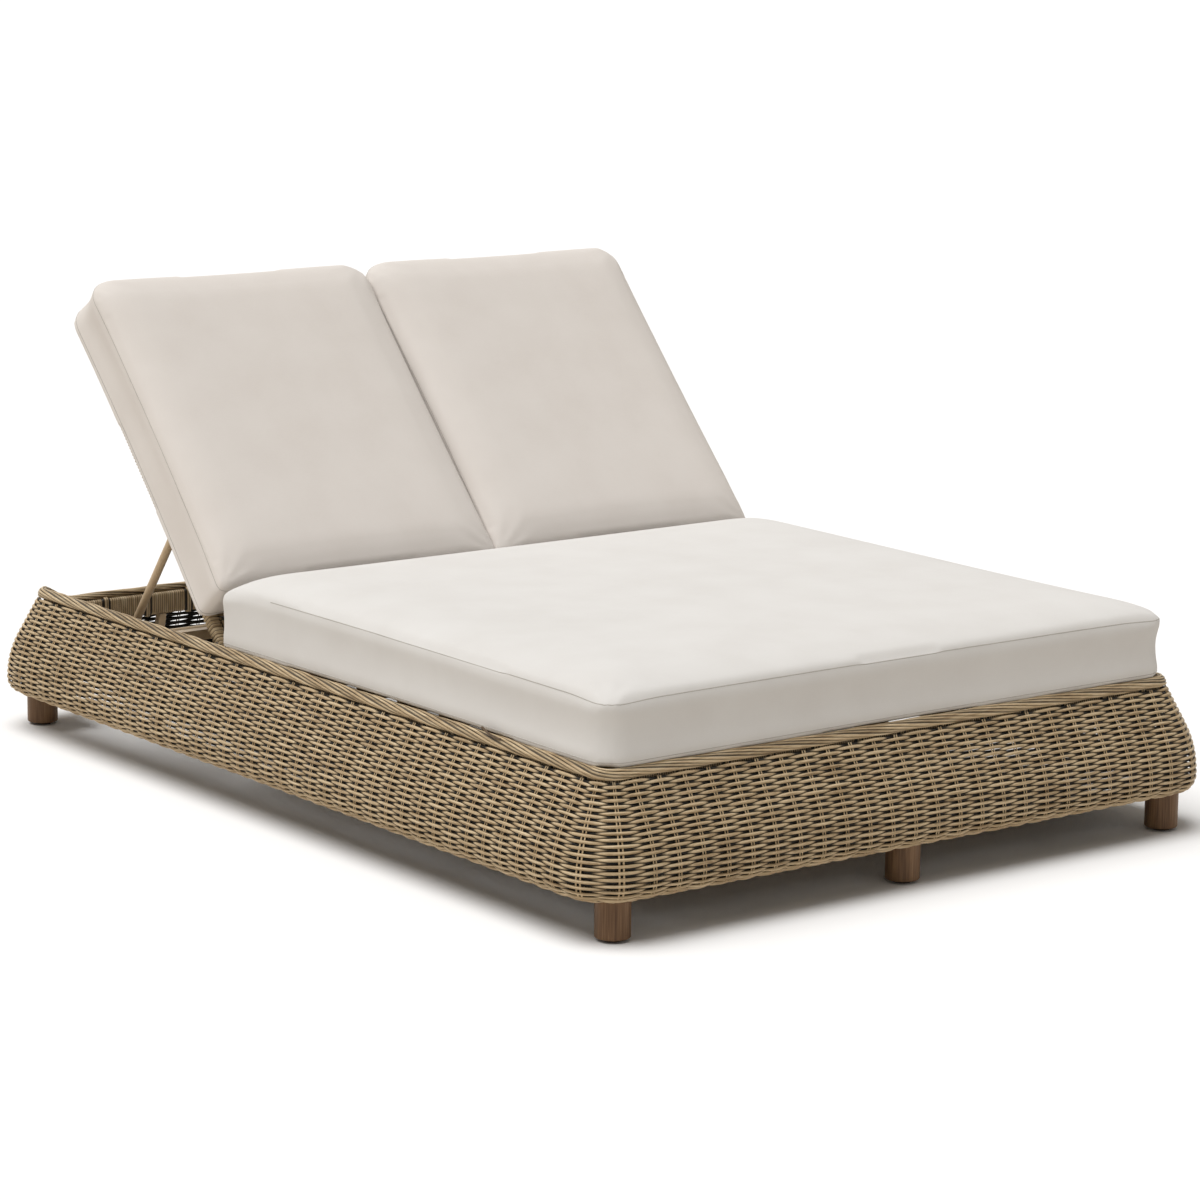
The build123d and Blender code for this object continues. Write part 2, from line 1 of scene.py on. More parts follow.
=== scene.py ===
# %% [markdown]
# # A double chaise lounger, woven and upholstered
#
# The lounger has a wide base of woven strand, one large seat cushion and two backrests that
# tilt by themselves. Its frame, hinges and prop stands come ready made from the CAD model, in
# metres, with the floor at Z = 0, the foot end at -Y and the head end at +Y. This lesson gives
# it what the CAD leaves out: the weave, the wrapped rails, the soft cushions and the finishes.

# %% Load the fixed frame
import json
import math
from itertools import chain

import bmesh
import bpy
import numpy as np
from mathutils import Matrix, Vector
from mathutils.bvhtree import BVHTree

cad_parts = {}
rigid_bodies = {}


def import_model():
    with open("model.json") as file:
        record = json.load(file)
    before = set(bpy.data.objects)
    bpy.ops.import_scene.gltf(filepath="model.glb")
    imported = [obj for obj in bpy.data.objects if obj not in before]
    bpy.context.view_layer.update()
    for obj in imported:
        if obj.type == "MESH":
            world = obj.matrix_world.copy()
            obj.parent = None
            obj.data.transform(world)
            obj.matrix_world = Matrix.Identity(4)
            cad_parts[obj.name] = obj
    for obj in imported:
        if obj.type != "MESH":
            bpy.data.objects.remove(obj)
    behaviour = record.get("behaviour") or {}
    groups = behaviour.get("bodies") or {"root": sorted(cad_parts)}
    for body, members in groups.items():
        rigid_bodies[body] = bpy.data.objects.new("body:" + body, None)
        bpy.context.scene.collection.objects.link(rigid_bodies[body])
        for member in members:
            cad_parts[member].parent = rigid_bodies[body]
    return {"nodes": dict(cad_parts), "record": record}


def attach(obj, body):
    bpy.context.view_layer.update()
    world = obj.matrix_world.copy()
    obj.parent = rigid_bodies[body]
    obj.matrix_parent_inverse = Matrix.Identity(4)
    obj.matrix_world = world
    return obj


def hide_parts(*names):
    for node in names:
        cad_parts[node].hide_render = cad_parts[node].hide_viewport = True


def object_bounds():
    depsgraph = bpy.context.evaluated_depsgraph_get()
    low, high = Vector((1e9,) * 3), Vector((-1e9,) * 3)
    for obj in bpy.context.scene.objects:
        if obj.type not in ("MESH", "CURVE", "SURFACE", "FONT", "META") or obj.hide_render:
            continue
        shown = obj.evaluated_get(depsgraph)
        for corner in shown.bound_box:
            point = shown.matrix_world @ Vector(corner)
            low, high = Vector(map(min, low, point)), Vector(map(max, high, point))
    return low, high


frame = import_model()
cad_low, cad_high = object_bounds()
scene = bpy.context.scene

# %% [markdown]
# ## The camera
#
# The photograph was taken from the foot end, a little to the left and from standing height. A
# camera looks along its own -Z, so its rotation is built from three directions: its right, its
# up, and the way it looks, turned round. A long lens far away keeps the perspective gentle.

# %% Place the camera
camera_place = Vector((-4.25635, -5.64777, 1.740554))
camera_turn = math.radians(37.3697)
camera_dip = math.radians(11.2301)
camera_roll = math.radians(0.697)
film_width = 36
lens_length = 114.56
farthest_seen = 60

look = Vector(
    (
        math.sin(camera_turn) * math.cos(camera_dip),
        math.cos(camera_turn) * math.cos(camera_dip),
        -math.sin(camera_dip),
    )
)
level_right = look.cross(Vector((0, 0, 1))).normalized()
level_up = level_right.cross(look)
right = math.cos(camera_roll) * level_right + math.sin(camera_roll) * level_up
up = math.cos(camera_roll) * level_up - math.sin(camera_roll) * level_right

camera_data = bpy.data.cameras.new("photo_camera")
camera_data.sensor_width = film_width
camera_data.lens = lens_length
camera_data.clip_end = farthest_seen
camera = bpy.data.objects.new("photo_camera", camera_data)
camera.matrix_world = Matrix.Translation(camera_place) @ Matrix((right, up, -look)).transposed().to_4x4()
scene.collection.objects.link(camera)
scene.camera = camera
print("camera stands", round(camera_place.length, 2), "m from the lounger's middle")

# %% [markdown]
# ## The floor
#
# The studio floor runs on to a white background. Its material shows pure white to the camera and
# a duller white to every other ray, so that it takes the lounger's shadow as the photograph's
# floor does, but throws no more light up at the weave than paper would.

# %% Lay the floor
floor_reach = 40
plain_white = (1, 1, 1, 1)
floor_white = (0.95, 0.96, 0.98, 1)
paper_white = (0.83, 0.79, 0.74, 1)


def add_node(nodes, kind, **settings):
    """A new shader node of a kind, with the given values set on its sockets."""
    node = nodes.new(f"ShaderNode{kind}")
    for socket, value in settings.items():
        node.inputs[socket.replace("_", " ")].default_value = value
    return node


def new_material(name):
    """An empty node material and its tools: the nodes, the links and the output."""
    made = bpy.data.materials.new(name)
    made.use_nodes = True
    made.node_tree.nodes.clear()
    output = add_node(made.node_tree.nodes, "OutputMaterial")
    return made, made.node_tree.nodes, made.node_tree.links, output


floor_bm = bmesh.new()
bmesh.ops.create_grid(floor_bm, x_segments=1, y_segments=1, size=floor_reach)
floor_mesh = bpy.data.meshes.new("studio_floor")
floor_bm.to_mesh(floor_mesh)
floor_bm.free()
floor = bpy.data.objects.new("studio_floor", floor_mesh)
scene.collection.objects.link(floor)

floor_finish, nodes, links, output = new_material("white_floor")
seen = add_node(nodes, "BsdfDiffuse", Color=floor_white)
bounced = add_node(nodes, "BsdfDiffuse", Color=paper_white)
rays = add_node(nodes, "LightPath")
choose = add_node(nodes, "MixShader")
links.new(rays.outputs["Is Camera Ray"], choose.inputs["Fac"])
links.new(bounced.outputs["BSDF"], choose.inputs[1])
links.new(seen.outputs["BSDF"], choose.inputs[2])
links.new(choose.outputs["Shader"], output.inputs["Surface"])
floor_mesh.materials.append(floor_finish)
print("floor reaches", floor_reach, "m each way")

# %% [markdown]
# ## The light
#
# One large lamp stands high on the left, a little behind the lounger, so the seat is the
# brightest face, the long side is next and the foot end is in soft shade. A slightly warm world
# fills in the rest. Only rays that come straight from the camera, or through glass or off a
# polished part, see the world as plain white.

# %% Set the lamp and the world
low_fill, high_fill = (0.205, 0.188, 0.165, 1), (0.285, 0.272, 0.25, 1)
fill_turn = 0.35
lamp_strength = 2.8
lamp_colour = (1, 0.985, 0.965)
lamp_width = math.radians(52)
lamp_from = Vector((-0.37, 0.08, 1.25))

world = bpy.data.worlds.new("studio_world")
world.use_nodes = True
scene.world = world
nodes, links = world.node_tree.nodes, world.node_tree.links
nodes.clear()
output = add_node(nodes, "OutputWorld")
white = add_node(nodes, "Background", Color=plain_white, Strength=1)
fill = add_node(nodes, "Background", Strength=1)
heading = add_node(nodes, "TexCoord")
parts = add_node(nodes, "SeparateXYZ")
sky = add_node(nodes, "ValToRGB")
sky.color_ramp.elements[0].color = low_fill
sky.color_ramp.elements[1].color = high_fill
sky.color_ramp.elements[1].position = fill_turn
links.new(heading.outputs["Generated"], parts.inputs["Vector"])
links.new(parts.outputs["Z"], sky.inputs["Fac"])
links.new(sky.outputs["Color"], fill.inputs["Color"])
rays = add_node(nodes, "LightPath")
direct = rays.outputs["Is Camera Ray"]
for other in ("Is Transmission Ray", "Is Glossy Ray"):
    either = add_node(nodes, "Math")
    either.operation = "MAXIMUM"
    links.new(direct, either.inputs[0])
    links.new(rays.outputs[other], either.inputs[1])
    direct = either.outputs["Value"]
choose = add_node(nodes, "MixShader")
links.new(direct, choose.inputs["Fac"])
links.new(fill.outputs["Background"], choose.inputs[1])
links.new(white.outputs["Background"], choose.inputs[2])
links.new(choose.outputs["Shader"], output.inputs["Surface"])

lamp_data = bpy.data.lights.new("studio_lamp", "SUN")
lamp_data.energy = lamp_strength
lamp_data.color = lamp_colour
lamp_data.angle = lamp_width
lamp = bpy.data.objects.new("studio_lamp", lamp_data)
lamp.rotation_euler = lamp_from.to_track_quat("Z", "Y").to_euler()
scene.collection.objects.link(lamp)
scene.view_settings.view_transform = "Standard"
print("the lamp shines from", [round(value, 2) for value in lamp_from.normalized()])

# %% [markdown]
# ## Strand colours
#
# The strand is a round plastic cord, tan with browner lengths, slightly glossy. Every woven
# piece keeps, on each point, where that point lay before the piece was bent round the base. The
# material reads that flat place, so streaks run along each strand however it turns. Its third
# number is a depth: what dives behind the stakes, or between two strands of a rope, is darkened
# with painted shade, standing in for the shade that falls there.

# %% Build finishes from noise
fine_detail = 3
coarse_detail = 2
bump_strength = 0.25
soft_gloss = 0.3


def stretched_noise(nodes, links, source, stretch, detail):
    """Noise read from a vector output, stretched by a different scale each way."""
    spread = add_node(nodes, "Mapping", Scale=stretch)
    noise = add_node(nodes, "TexNoise", Scale=1, Detail=detail)
    links.new(source, spread.inputs["Vector"])
    links.new(spread.outputs["Vector"], noise.inputs["Vector"])
    return noise


def colour_ramp(nodes, stops):
    """A ramp through the given (place, colour) stops."""
    ramp = add_node(nodes, "ValToRGB")
    for end in (0, -1):
        ramp.color_ramp.elements[end].position = stops[end][0]
        ramp.color_ramp.elements[end].color = (*stops[end][1], 1)
    for place, colour in stops[1:-1]:
        ramp.color_ramp.elements.new(place).color = (*colour, 1)
    return ramp


def finish_from_noise(name, stops, noises, share, roughness, bump_height, metallic=0):
    """A finish whose colour is a ramp over two blended noises, with a bump from the second."""
    made, nodes, links, output = new_material(name)
    shader = add_node(
        nodes, "BsdfPrincipled", Roughness=roughness, Specular_IOR_Level=soft_gloss, Metallic=metallic
    )
    if noises[0] == "object":
        place = add_node(nodes, "TexCoord").outputs["Object"]
    else:
        source = add_node(nodes, "Attribute")
        source.attribute_name = noises[0]
        place = source.outputs["Vector"]
    tone = stretched_noise(nodes, links, place, noises[1], fine_detail)
    streaks = stretched_noise(nodes, links, place, noises[2], coarse_detail)
    ramp = colour_ramp(nodes, stops)
    blend = add_node(nodes, "Mix")
    blend.data_type = "FLOAT"
    blend.inputs["Factor"].default_value = share
    links.new(tone.outputs["Fac"], blend.inputs["A"])
    links.new(streaks.outputs["Fac"], blend.inputs["B"])
    links.new(blend.outputs["Result"], ramp.inputs["Fac"])
    links.new(ramp.outputs["Color"], shader.inputs["Base Color"])
    bump = add_node(nodes, "Bump", Strength=bump_strength, Distance=bump_height)
    links.new(streaks.outputs["Fac"], bump.inputs["Height"])
    links.new(bump.outputs["Normal"], shader.inputs["Normal"])
    links.new(shader.outputs["BSDF"], output.inputs["Surface"])
    return made, place, ramp, shader


def paint_gap_shade(made, place, ramp, shader, deep, shallow, darkest):
    """Paints shade on what lies deep: darkens it between two depths kept in the flat place."""
    nodes, links = made.node_tree.nodes, made.node_tree.links
    parts = add_node(nodes, "SeparateXYZ")
    depth = add_node(nodes, "MapRange", From_Min=deep, From_Max=shallow, To_Min=darkest)
    tint = add_node(nodes, "Mix")
    tint.data_type = "RGBA"
    tint.blend_type = "MULTIPLY"
    tint.inputs["Factor"].default_value = 1
    links.new(place, parts.inputs["Vector"])
    links.new(parts.outputs["Z"], depth.inputs["Value"])
    links.new(ramp.outputs["Color"], tint.inputs["A"])
    links.new(depth.outputs["Result"], tint.inputs["B"])
    links.new(tint.outputs["Result"], shader.inputs["Base Color"])


# %% Make the strand finishes
strand_brown, strand_tan, strand_straw = (0.23, 0.15, 0.075), (0.495, 0.375, 0.228), (0.71, 0.585, 0.40)
strand_stops = [(0.3, strand_brown), (0.5, strand_tan), (0.7, strand_straw)]
streak_share = 0.35
strand_roughness = 0.5
strand_bump = 0.0006
along_weave = ("flat_place", (8, 180, 180), (16, 900, 900))
along_rope = ("flat_place", (14, 190, 190), (30, 800, 800))
round_wrapping = ("flat_place", (230, 14, 14), (900, 30, 30))
# painted shade: below the gap depth a strand is darkened towards gap_shade, above the crest depth it
# keeps its own colour
woven_gap, woven_crest = 0.0008, 0.0027
rope_gap, rope_crest = 0.0005, 0.0021
wrapped_gap, wrapped_crest = -0.0001, 0.0007
gap_shade = 0.02


def strand_finish(name, noises, gap, crest):
    """A strand finish with painted shade, dark wherever the kept depth is in a gap."""
    parts = finish_from_noise(name, strand_stops, noises, streak_share, strand_roughness, strand_bump)
    paint_gap_shade(*parts, gap, crest, gap_shade)
    return parts[0]


woven_strand = strand_finish("woven_strand", along_weave, woven_gap, woven_crest)
rope_strand = strand_finish("rope_strand", along_rope, rope_gap, rope_crest)
wrapped_strand = strand_finish("wrapped_strand", round_wrapping, wrapped_gap, wrapped_crest)
print("strand finishes:", woven_strand.name, rope_strand.name, wrapped_strand.name)

# %% [markdown]
# ## The shape of the skirt
#
# Every woven piece is first made flat, like a mat on a table: X runs along the side, Y goes up
# the wall and Z stands out of it. Then each point is moved to the wall. The wall leans out from
# the rim, swells into a belly and tucks under, and it goes round each corner on an arc, so a
# side's mat ends in the middle of each corner, where the next one carries on. The head end's rim
# is lower than the others, and slopes down to its own height beside each corner.

# %% Describe the wall
skirt_flare = 0.069
rim_radius = 0.032
shoulder_outset, shoulder_height = 0.008, 0.262
knee_outset, knee_height = 0.047, 0.190
tuck_radius = 0.033
mat_turn_radius = 0.067
head_drop = 0.030
slope_run = 0.08
rim_half_width = cad_high.x - skirt_flare
rim_half_length = cad_high.y - skirt_flare

lean_outset = knee_outset - shoulder_outset
lean_height = shoulder_height - knee_height
skirt_lean = math.atan2(lean_outset, lean_height)
belly_radius = (skirt_flare - knee_outset) / (1 - math.cos(skirt_lean))
belly_height = knee_height - belly_radius * math.sin(skirt_lean)
tuck_length = tuck_radius * math.pi / 2
belly_length = belly_radius * skirt_lean
wall_length = tuck_length + belly_length + math.hypot(lean_outset, lean_height)

# side: outward direction, distance to the rim line, half the length of the side
sides = {
    "head": (Vector((0, 1)), rim_half_length, rim_half_width),
    "left": (Vector((-1, 0)), rim_half_width, rim_half_length),
    "foot": (Vector((0, -1)), rim_half_length, rim_half_width),
    "right": (Vector((1, 0)), rim_half_width, rim_half_length),
}


def wall_point(rise, out):
    """Outset and height of points this far up the wall's surface and this far out of it."""
    tuck = np.clip(rise, None, tuck_length) / tuck_radius
    belly = np.clip(rise - tuck_length, 0, belly_length) / belly_radius
    lean = np.clip(rise - tuck_length - belly_length, 0, None)
    reach = tuck_radius + out
    outset = skirt_flare - tuck_radius + reach * np.sin(tuck)
    height = belly_height - reach * np.cos(tuck)
    turned = belly > 0
    reach = belly_radius + out
    outset = np.where(turned, skirt_flare - belly_radius + reach * np.cos(belly), outset)
    height = np.where(turned, belly_height + reach * np.sin(belly), height)
    outset = outset - lean * math.sin(skirt_lean)
    height = height + lean * math.cos(skirt_lean)
    return outset, height


print("wall length up the skirt:", round(wall_length, 4), "m")

# %% Move flat work to its place


def round_the_rim(side, run, outset, turn_radius):
    """Plan position of points this far along a side, measured on a line of that corner radius."""
    outward, distance, half_run = sides[side]
    along = Vector((-outward.y, outward.x))
    straight = half_run - rim_radius
    past = np.clip(np.abs(run) - straight, 0, None)
    angle = np.sign(run) * past / turn_radius
    level = np.clip(run, -straight, straight)
    reach = rim_radius + outset
    x = outward.x * (distance - rim_radius) + along.x * level
    y = outward.y * (distance - rim_radius) + along.y * level
    x = x + reach * (outward.x * np.cos(angle) + along.x * np.sin(angle))
    y = y + reach * (outward.y * np.cos(angle) + along.y * np.sin(angle))
    return x, y


def side_length(side, turn_radius):
    """Length of a side from corner middle to corner middle, on a line of that corner radius."""
    return 2 * (sides[side][2] - rim_radius) + turn_radius * math.pi / 2


def rim_drop(side, run, length):
    """How far the rim is below its full height, at points this far from a side's middle."""
    if side != "head":
        return np.zeros_like(run)
    share = np.clip((length / 2 - np.abs(run)) / slope_run, 0, 1)
    return head_drop * share * share * (3 - 2 * share)


def read_points(mesh):
    points = np.empty(len(mesh.vertices) * 3)
    mesh.vertices.foreach_get("co", points)
    return points.reshape(-1, 3)


def write_points(mesh, points):
    mesh.vertices.foreach_set("co", np.ascontiguousarray(points, dtype=np.float64).ravel())
    mesh.update()


def remember_flat_place(mesh, offset=0.0, depth=None):
    """Keeps each point's flat place for the material, with another depth if one is given."""
    kept = read_points(mesh)
    kept[:, 0] += offset
    if depth is not None:
        kept[:, 2] = depth
    store = mesh.attributes.new("flat_place", "FLOAT_VECTOR", "POINT")
    store.data.foreach_set("vector", kept.ravel())


for side in sides:
    print(side, "side is", round(side_length(side, mat_turn_radius), 3), "m long round the belly")

# %% [markdown]
# ## Making long repeats
#
# A weave is thousands of equal waves. One repeat is extruded step by step from a small ring, and
# Array modifiers lay copies side by side, as a knitting machine would, which is far quicker than
# making each strand. The open tube ends get flat caps, so every strand is a closed solid.

# %% Helpers that start, repeat and close a tube
weld = 0.00002
round_x = Matrix.Rotation(math.pi / 2, 4, "Y")
round_y = Matrix.Rotation(math.pi / 2, 4, "X")


def new_piece(name, bm, finish):
    """Turns a bmesh into an object with a finish."""
    mesh = bpy.data.meshes.new(name)
    bm.to_mesh(mesh)
    bm.free()
    mesh.materials.append(finish)
    piece = bpy.data.objects.new(name, mesh)
    scene.collection.objects.link(piece)
    return piece


def fit_out(piece, name, body, finish_slot, *replaced):
    """Names a finished piece, lets it ride on a body and hides the CAD nodes it stands for."""
    piece.name = name
    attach(piece, body)
    if replaced:
        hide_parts(*replaced)


def repeat(piece, step, count, join):
    """Adds an Array modifier that lays count copies a fixed step apart."""
    array = piece.modifiers.new("repeat", "ARRAY")
    array.use_relative_offset = False
    array.use_constant_offset = True
    array.constant_offset_displace = step
    array.count = count
    array.use_merge_vertices = join
    array.merge_threshold = weld


def take_modified_mesh(piece):
    """Replaces the piece's mesh by what its modifiers make, and removes them."""
    graph = bpy.context.evaluated_depsgraph_get()
    made = bpy.data.meshes.new_from_object(piece.evaluated_get(graph))
    before = piece.data
    piece.modifiers.clear()
    piece.data = made
    made.name = piece.name
    bpy.data.meshes.remove(before)


def close_ends(piece):
    """Caps every open tube end with a flat face and makes all faces point outwards."""
    bm = bmesh.new()
    bm.from_mesh(piece.data)
    for face in bm.faces:
        face.smooth = True
    open_edges = [edge for edge in bm.edges if edge.is_boundary]
    for cap in bmesh.ops.holes_fill(bm, edges=open_edges, sides=0)["faces"]:
        cap.smooth = False
    for edge in open_edges:
        edge.smooth = False
    bmesh.ops.recalc_face_normals(bm, faces=bm.faces)
    bm.to_mesh(piece.data)
    bm.free()


def extrude_ring(bm, ring, move):
    """Extrudes a ring of edges and moves the new ring. Returns its edges and its points."""
    made = bmesh.ops.extrude_edge_only(bm, edges=ring)["geom"]
    points = [part for part in made if isinstance(part, bmesh.types.BMVert)]
    edges = [part for part in made if isinstance(part, bmesh.types.BMEdge)]
    bmesh.ops.translate(bm, verts=points, vec=move)
    ring = [edge for edge in edges if all(end in points for end in edge.verts)]
    return ring, points


def start_ring(bm, radius, centre, turn, sides_count):
    """A ring of edges round the X axis, or round another axis if it is turned."""
    place = Matrix.Translation(centre) @ turn
    made = bmesh.ops.create_circle(bm, segments=sides_count, radius=radius, matrix=place)
    points = made["verts"]
    edges = list({edge for point in points for edge in point.link_edges})
    return edges, points


def tube_along(bm, radius, spots, turn, sides_count):
    """An open tube through the given places. Returns the points of each of its rings."""
    ring, points = start_ring(bm, radius, spots[0], turn, sides_count)
    rings = [points]
    for now, after in zip(spots, spots[1:]):
        ring, points = extrude_ring(bm, ring, Vector(after) - Vector(now))
        rings.append(points)
    return rings


print("tube ends are welded within", weld, "m")

# %% [markdown]
# ## Weaving a mat
#
# The weave is a plain one: a strand passes in front of one pair of stakes and behind the next,
# and the strand above does the opposite. One repeat holds two strands over two pairs of stakes.
# Small uneven shifts, a few tenths of a millimetre, keep it from looking printed.

# %% Helpers that make a mat
wall_rows = 40
bottom_margin = 0.006
row_pitch = (wall_length - bottom_margin) / wall_rows
strand_sides = 6
wave_steps = 12
strand_radius = 0.0030
strand_swell = -0.0002
wave_depth = 0.0033
stake_sides = 5
stake_radius = 0.0012
stake_offset = 0.0026
stake_depth = 0.0030
shift_along, shift_out = 61, 83
row_shift_along, row_shift_out = 2.4, 4.1


def add_waving_strand(bm, height, phase, pitch):
    """One strand over two stake pitches, in front of one pair of stakes and behind the other."""
    step = 2 * pitch / wave_steps
    wave = [phase * math.cos(math.pi * (k * step / pitch - 1 / 2)) for k in range(wave_steps + 1)]
    spots = [(k * step, height, share * wave_depth) for k, share in enumerate(wave)]
    rings = tube_along(bm, strand_radius, spots, round_x, strand_sides)
    for share, points in zip(wave, rings):
        swell = (strand_radius + strand_swell * share) / strand_radius
        for point in points:
            point.co.y = height + (point.co.y - height) * swell


def weave_depth(mat, strand_points):
    """The depth to keep for a mat: its own for the strands, and that of a crest for the stakes, so the
    painted gap shade leaves the stakes unshaded.
    """
    depth = read_points(mat.data)[:, 2]
    depth[strand_points:] = woven_crest
    return depth


def mat_of_strands(length, rows, stakes):
    """The waving strands of a flat mat, from X = 0 to its length, closed at both ends."""
    pitch = length / stakes
    bm = bmesh.new()
    add_waving_strand(bm, row_pitch / 2, 1, pitch)
    add_waving_strand(bm, row_pitch * 3 / 2, -1, pitch)
    mat = new_piece("strands", bm, woven_strand)
    repeat(mat, (2 * pitch, 0, 0), stakes // 2, True)
    repeat(mat, (0, 2 * row_pitch, 0), rows // 2, False)
    take_modified_mesh(mat)
    close_ends(mat)
    return mat


def mat_of_stakes(length, rise, stakes, steps):
    """Pairs of thin stakes that stand up the mat, half a pitch in from its ends."""
    pitch = length / stakes
    bm = bmesh.new()
    for offset in (-stake_offset, stake_offset):
        spots = [(pitch / 2 + offset, k * rise / steps, stake_depth) for k in range(steps + 1)]
        tube_along(bm, stake_radius, spots, round_y, stake_sides)
    mat = new_piece("stakes", bm, woven_strand)
    repeat(mat, (pitch, 0, 0), stakes, False)
    take_modified_mesh(mat)
    close_ends(mat)
    return mat


def joined(name, *parts):
    """Joins pieces into one object with one mesh."""
    bm = bmesh.new()
    for part in parts:
        bm.from_mesh(part.data)
    finish = parts[0].data.materials[0]
    for part in parts:
        bpy.data.meshes.remove(part.data)
    return new_piece(name, bm, finish)


def ruffle(points, amount, length):
    """Small uneven shifts that fade out at the ends, so that no two strands lie quite alike."""
    row = np.floor(points[:, 1] / row_pitch)
    fade = np.clip(np.minimum(points[:, 0], length - points[:, 0]) / slope_run, 0, 1) * amount
    points[:, 1] += fade * np.sin(points[:, 0] * shift_along + row * row_shift_along)
    points[:, 2] += fade * np.sin(points[:, 0] * shift_out + row * row_shift_out)
    return points


print("one strand wave has", wave_steps * strand_sides * 2, "triangles, rows are", row_pitch, "m apart")

# %% [markdown]
# ## The woven skirt
#
# The stakes stand about 50 mm apart and the rows 5.5 mm, as counted in the photograph. The mat's
# stakes lie a little inside the CAD wall, so the strands in front of them just reach it. The
# head end's mat has fewer rows, and its rows spread where the rim slopes.

# %% Weave the four sides of the skirt
stake_inset = 0.0056
unevenness = 0.00025
stake_steps = 22
head_rows_less = 6
stake_counts = {"left": 40, "right": 40, "foot": 26, "head": 26}


def bend_onto_wall(piece, side, length, made_rise):
    """Moves a flat mat onto the wall and stretches it up to the rim."""
    points = read_points(piece.data)
    run = points[:, 0] - length / 2
    top = wall_length - rim_drop(side, run, length) / math.cos(skirt_lean)
    rise = bottom_margin + points[:, 1] * (top - bottom_margin) / made_rise
    outset, height = wall_point(rise, points[:, 2] - stake_inset)
    x, y = round_the_rim(side, run, outset, mat_turn_radius)
    write_points(piece.data, np.column_stack((x, y, height)))


travelled = 0
for side in sides:
    rows = wall_rows - (head_rows_less if side == "head" else 0)
    length = side_length(side, mat_turn_radius)
    strands = mat_of_strands(length, rows, stake_counts[side])
    write_points(strands.data, ruffle(read_points(strands.data), unevenness, length))
    stakes = mat_of_stakes(length, rows * row_pitch, stake_counts[side], stake_steps)
    strand_points = len(strands.data.vertices)
    skirt = joined("skirt", strands, stakes)
    remember_flat_place(skirt.data, travelled, weave_depth(skirt, strand_points))
    bend_onto_wall(skirt, side, length, rows * row_pitch)
    fit_out(skirt, f"woven_skirt_{side}", "base", "strand", f"skirt_{side}")
    travelled += length
    print(skirt.name, "has", len(skirt.data.polygons), "faces")

# %% [markdown]
# ## The rope rim and the twisted edge
#
# The rim is plaited: bundles of three strands come up over it, lie along it at a flat angle and
# go down again, like a wide rope with a long twist. Here three bundles wind round an oval core,
# one turn about every 400 mm. Three single strands twist along the skirt's bottom edge. One turn
# is made and then repeated, a whole number of times on every side, so the ropes meet at the
# corners.

# %% Wind a rope and lay it round the base
rope_sizes = ("across", "up", "strand", "lift", "lead", "bundles", "strands", "steps")
rim_rope = dict(zip(rope_sizes, (0.0056, 0.0084, 0.0026, 0.0006, math.radians(37), 3, 3, 36)))
edge_rope = dict(zip(rope_sizes, (0.0036, 0.0036, 0.0034, 0, 0, 3, 1, 16)))
core_sides, core_share = 10, 1.12


def wind_rope(length, turns, rope):
    """A straight rope along X, wound from bundles of strands round an oval core that painted shade
    darkens.
    """
    steps = rope["steps"]
    step, step_turn = length / turns / steps, 2 * math.pi / steps
    bm = bmesh.new()
    for bundle in range(rope["bundles"]):
        for number in range(rope["strands"]):
            place = number - (rope["strands"] - 1) / 2
            lead = rope["lead"] * place + bundle * 2 * math.pi / rope["bundles"]
            up, across = rope["up"] + rope["lift"] * place, rope["across"] + rope["lift"] * place
            turned = [lead - step_turn * k for k in range(steps + 1)]
            spots = [(k * step, up * math.sin(at), across * math.cos(at)) for k, at in enumerate(turned)]
            tube_along(bm, rope["strand"], spots, round_x, strand_sides)
    core = tube_along(bm, 1, [(k * step, 0, 0) for k in range(steps + 1)], round_x, core_sides)
    for point in chain(*core):
        point.co.y *= core_share * rope["up"]
        point.co.z *= core_share * rope["across"]
    made = new_piece("rope", bm, rope_strand)
    repeat(made, (length / turns, 0, 0), turns, True)
    take_modified_mesh(made)
    close_ends(made)
    return made


def remember_rope(piece, rope):
    """Keeps a rope's flat place, with its depth counted outwards from the line of its strands, so
    painted shade darkens what lies inside that line.
    """
    points = read_points(piece.data)
    shape = np.hypot(points[:, 1] / rope["up"], points[:, 2] / rope["across"])
    depth = np.hypot(points[:, 1], points[:, 2]) * (1 - 1 / np.maximum(shape, weld))
    remember_flat_place(piece.data, 0, depth)


def lay_round_rim(piece, side, length, outset, height, turn_radius, drops):
    """Moves a straight piece to a line round the base, lower at the head end where the rim is."""
    points = read_points(piece.data)
    run = points[:, 0] - length / 2
    drop = rim_drop(side, run, length) * drops
    out = points[:, 2] + outset + drop * math.tan(skirt_lean)
    x, y = round_the_rim(side, run, out, turn_radius)
    write_points(piece.data, np.column_stack((x, y, points[:, 1] + height - drop)))


print("the rim rope has", rim_rope["bundles"] * rim_rope["strands"], "strands")

# %% Make the ropes of every side
rim_rope_outset, rim_rope_height = -0.0030, 0.2715
rim_rope_tilt = math.radians(50)
edge_rope_outset, edge_rope_height = 0.0375, 0.0760
rim_turns = {"left": 5, "right": 5, "foot": 3, "head": 3}
edge_turns = {"left": 20, "right": 20, "foot": 13, "head": 13}

for side in sides:
    length = side_length(side, rim_radius)
    rope = wind_rope(length, rim_turns[side], rim_rope)
    remember_rope(rope, rim_rope)
    rope.data.transform(Matrix.Rotation(-rim_rope_tilt, 4, "X"))
    lay_round_rim(rope, side, length, rim_rope_outset, rim_rope_height, rim_radius, 1)
    fit_out(rope, f"rim_rope_{side}", "base", "strand", f"rim_braid_{side}")

    length = side_length(side, mat_turn_radius)
    edge = wind_rope(length, edge_turns[side], edge_rope)
    remember_rope(edge, edge_rope)
    lay_round_rim(edge, side, length, edge_rope_outset, edge_rope_height, mat_turn_radius, 0)
    fit_out(edge, f"edge_twist_{side}", "base", "strand")
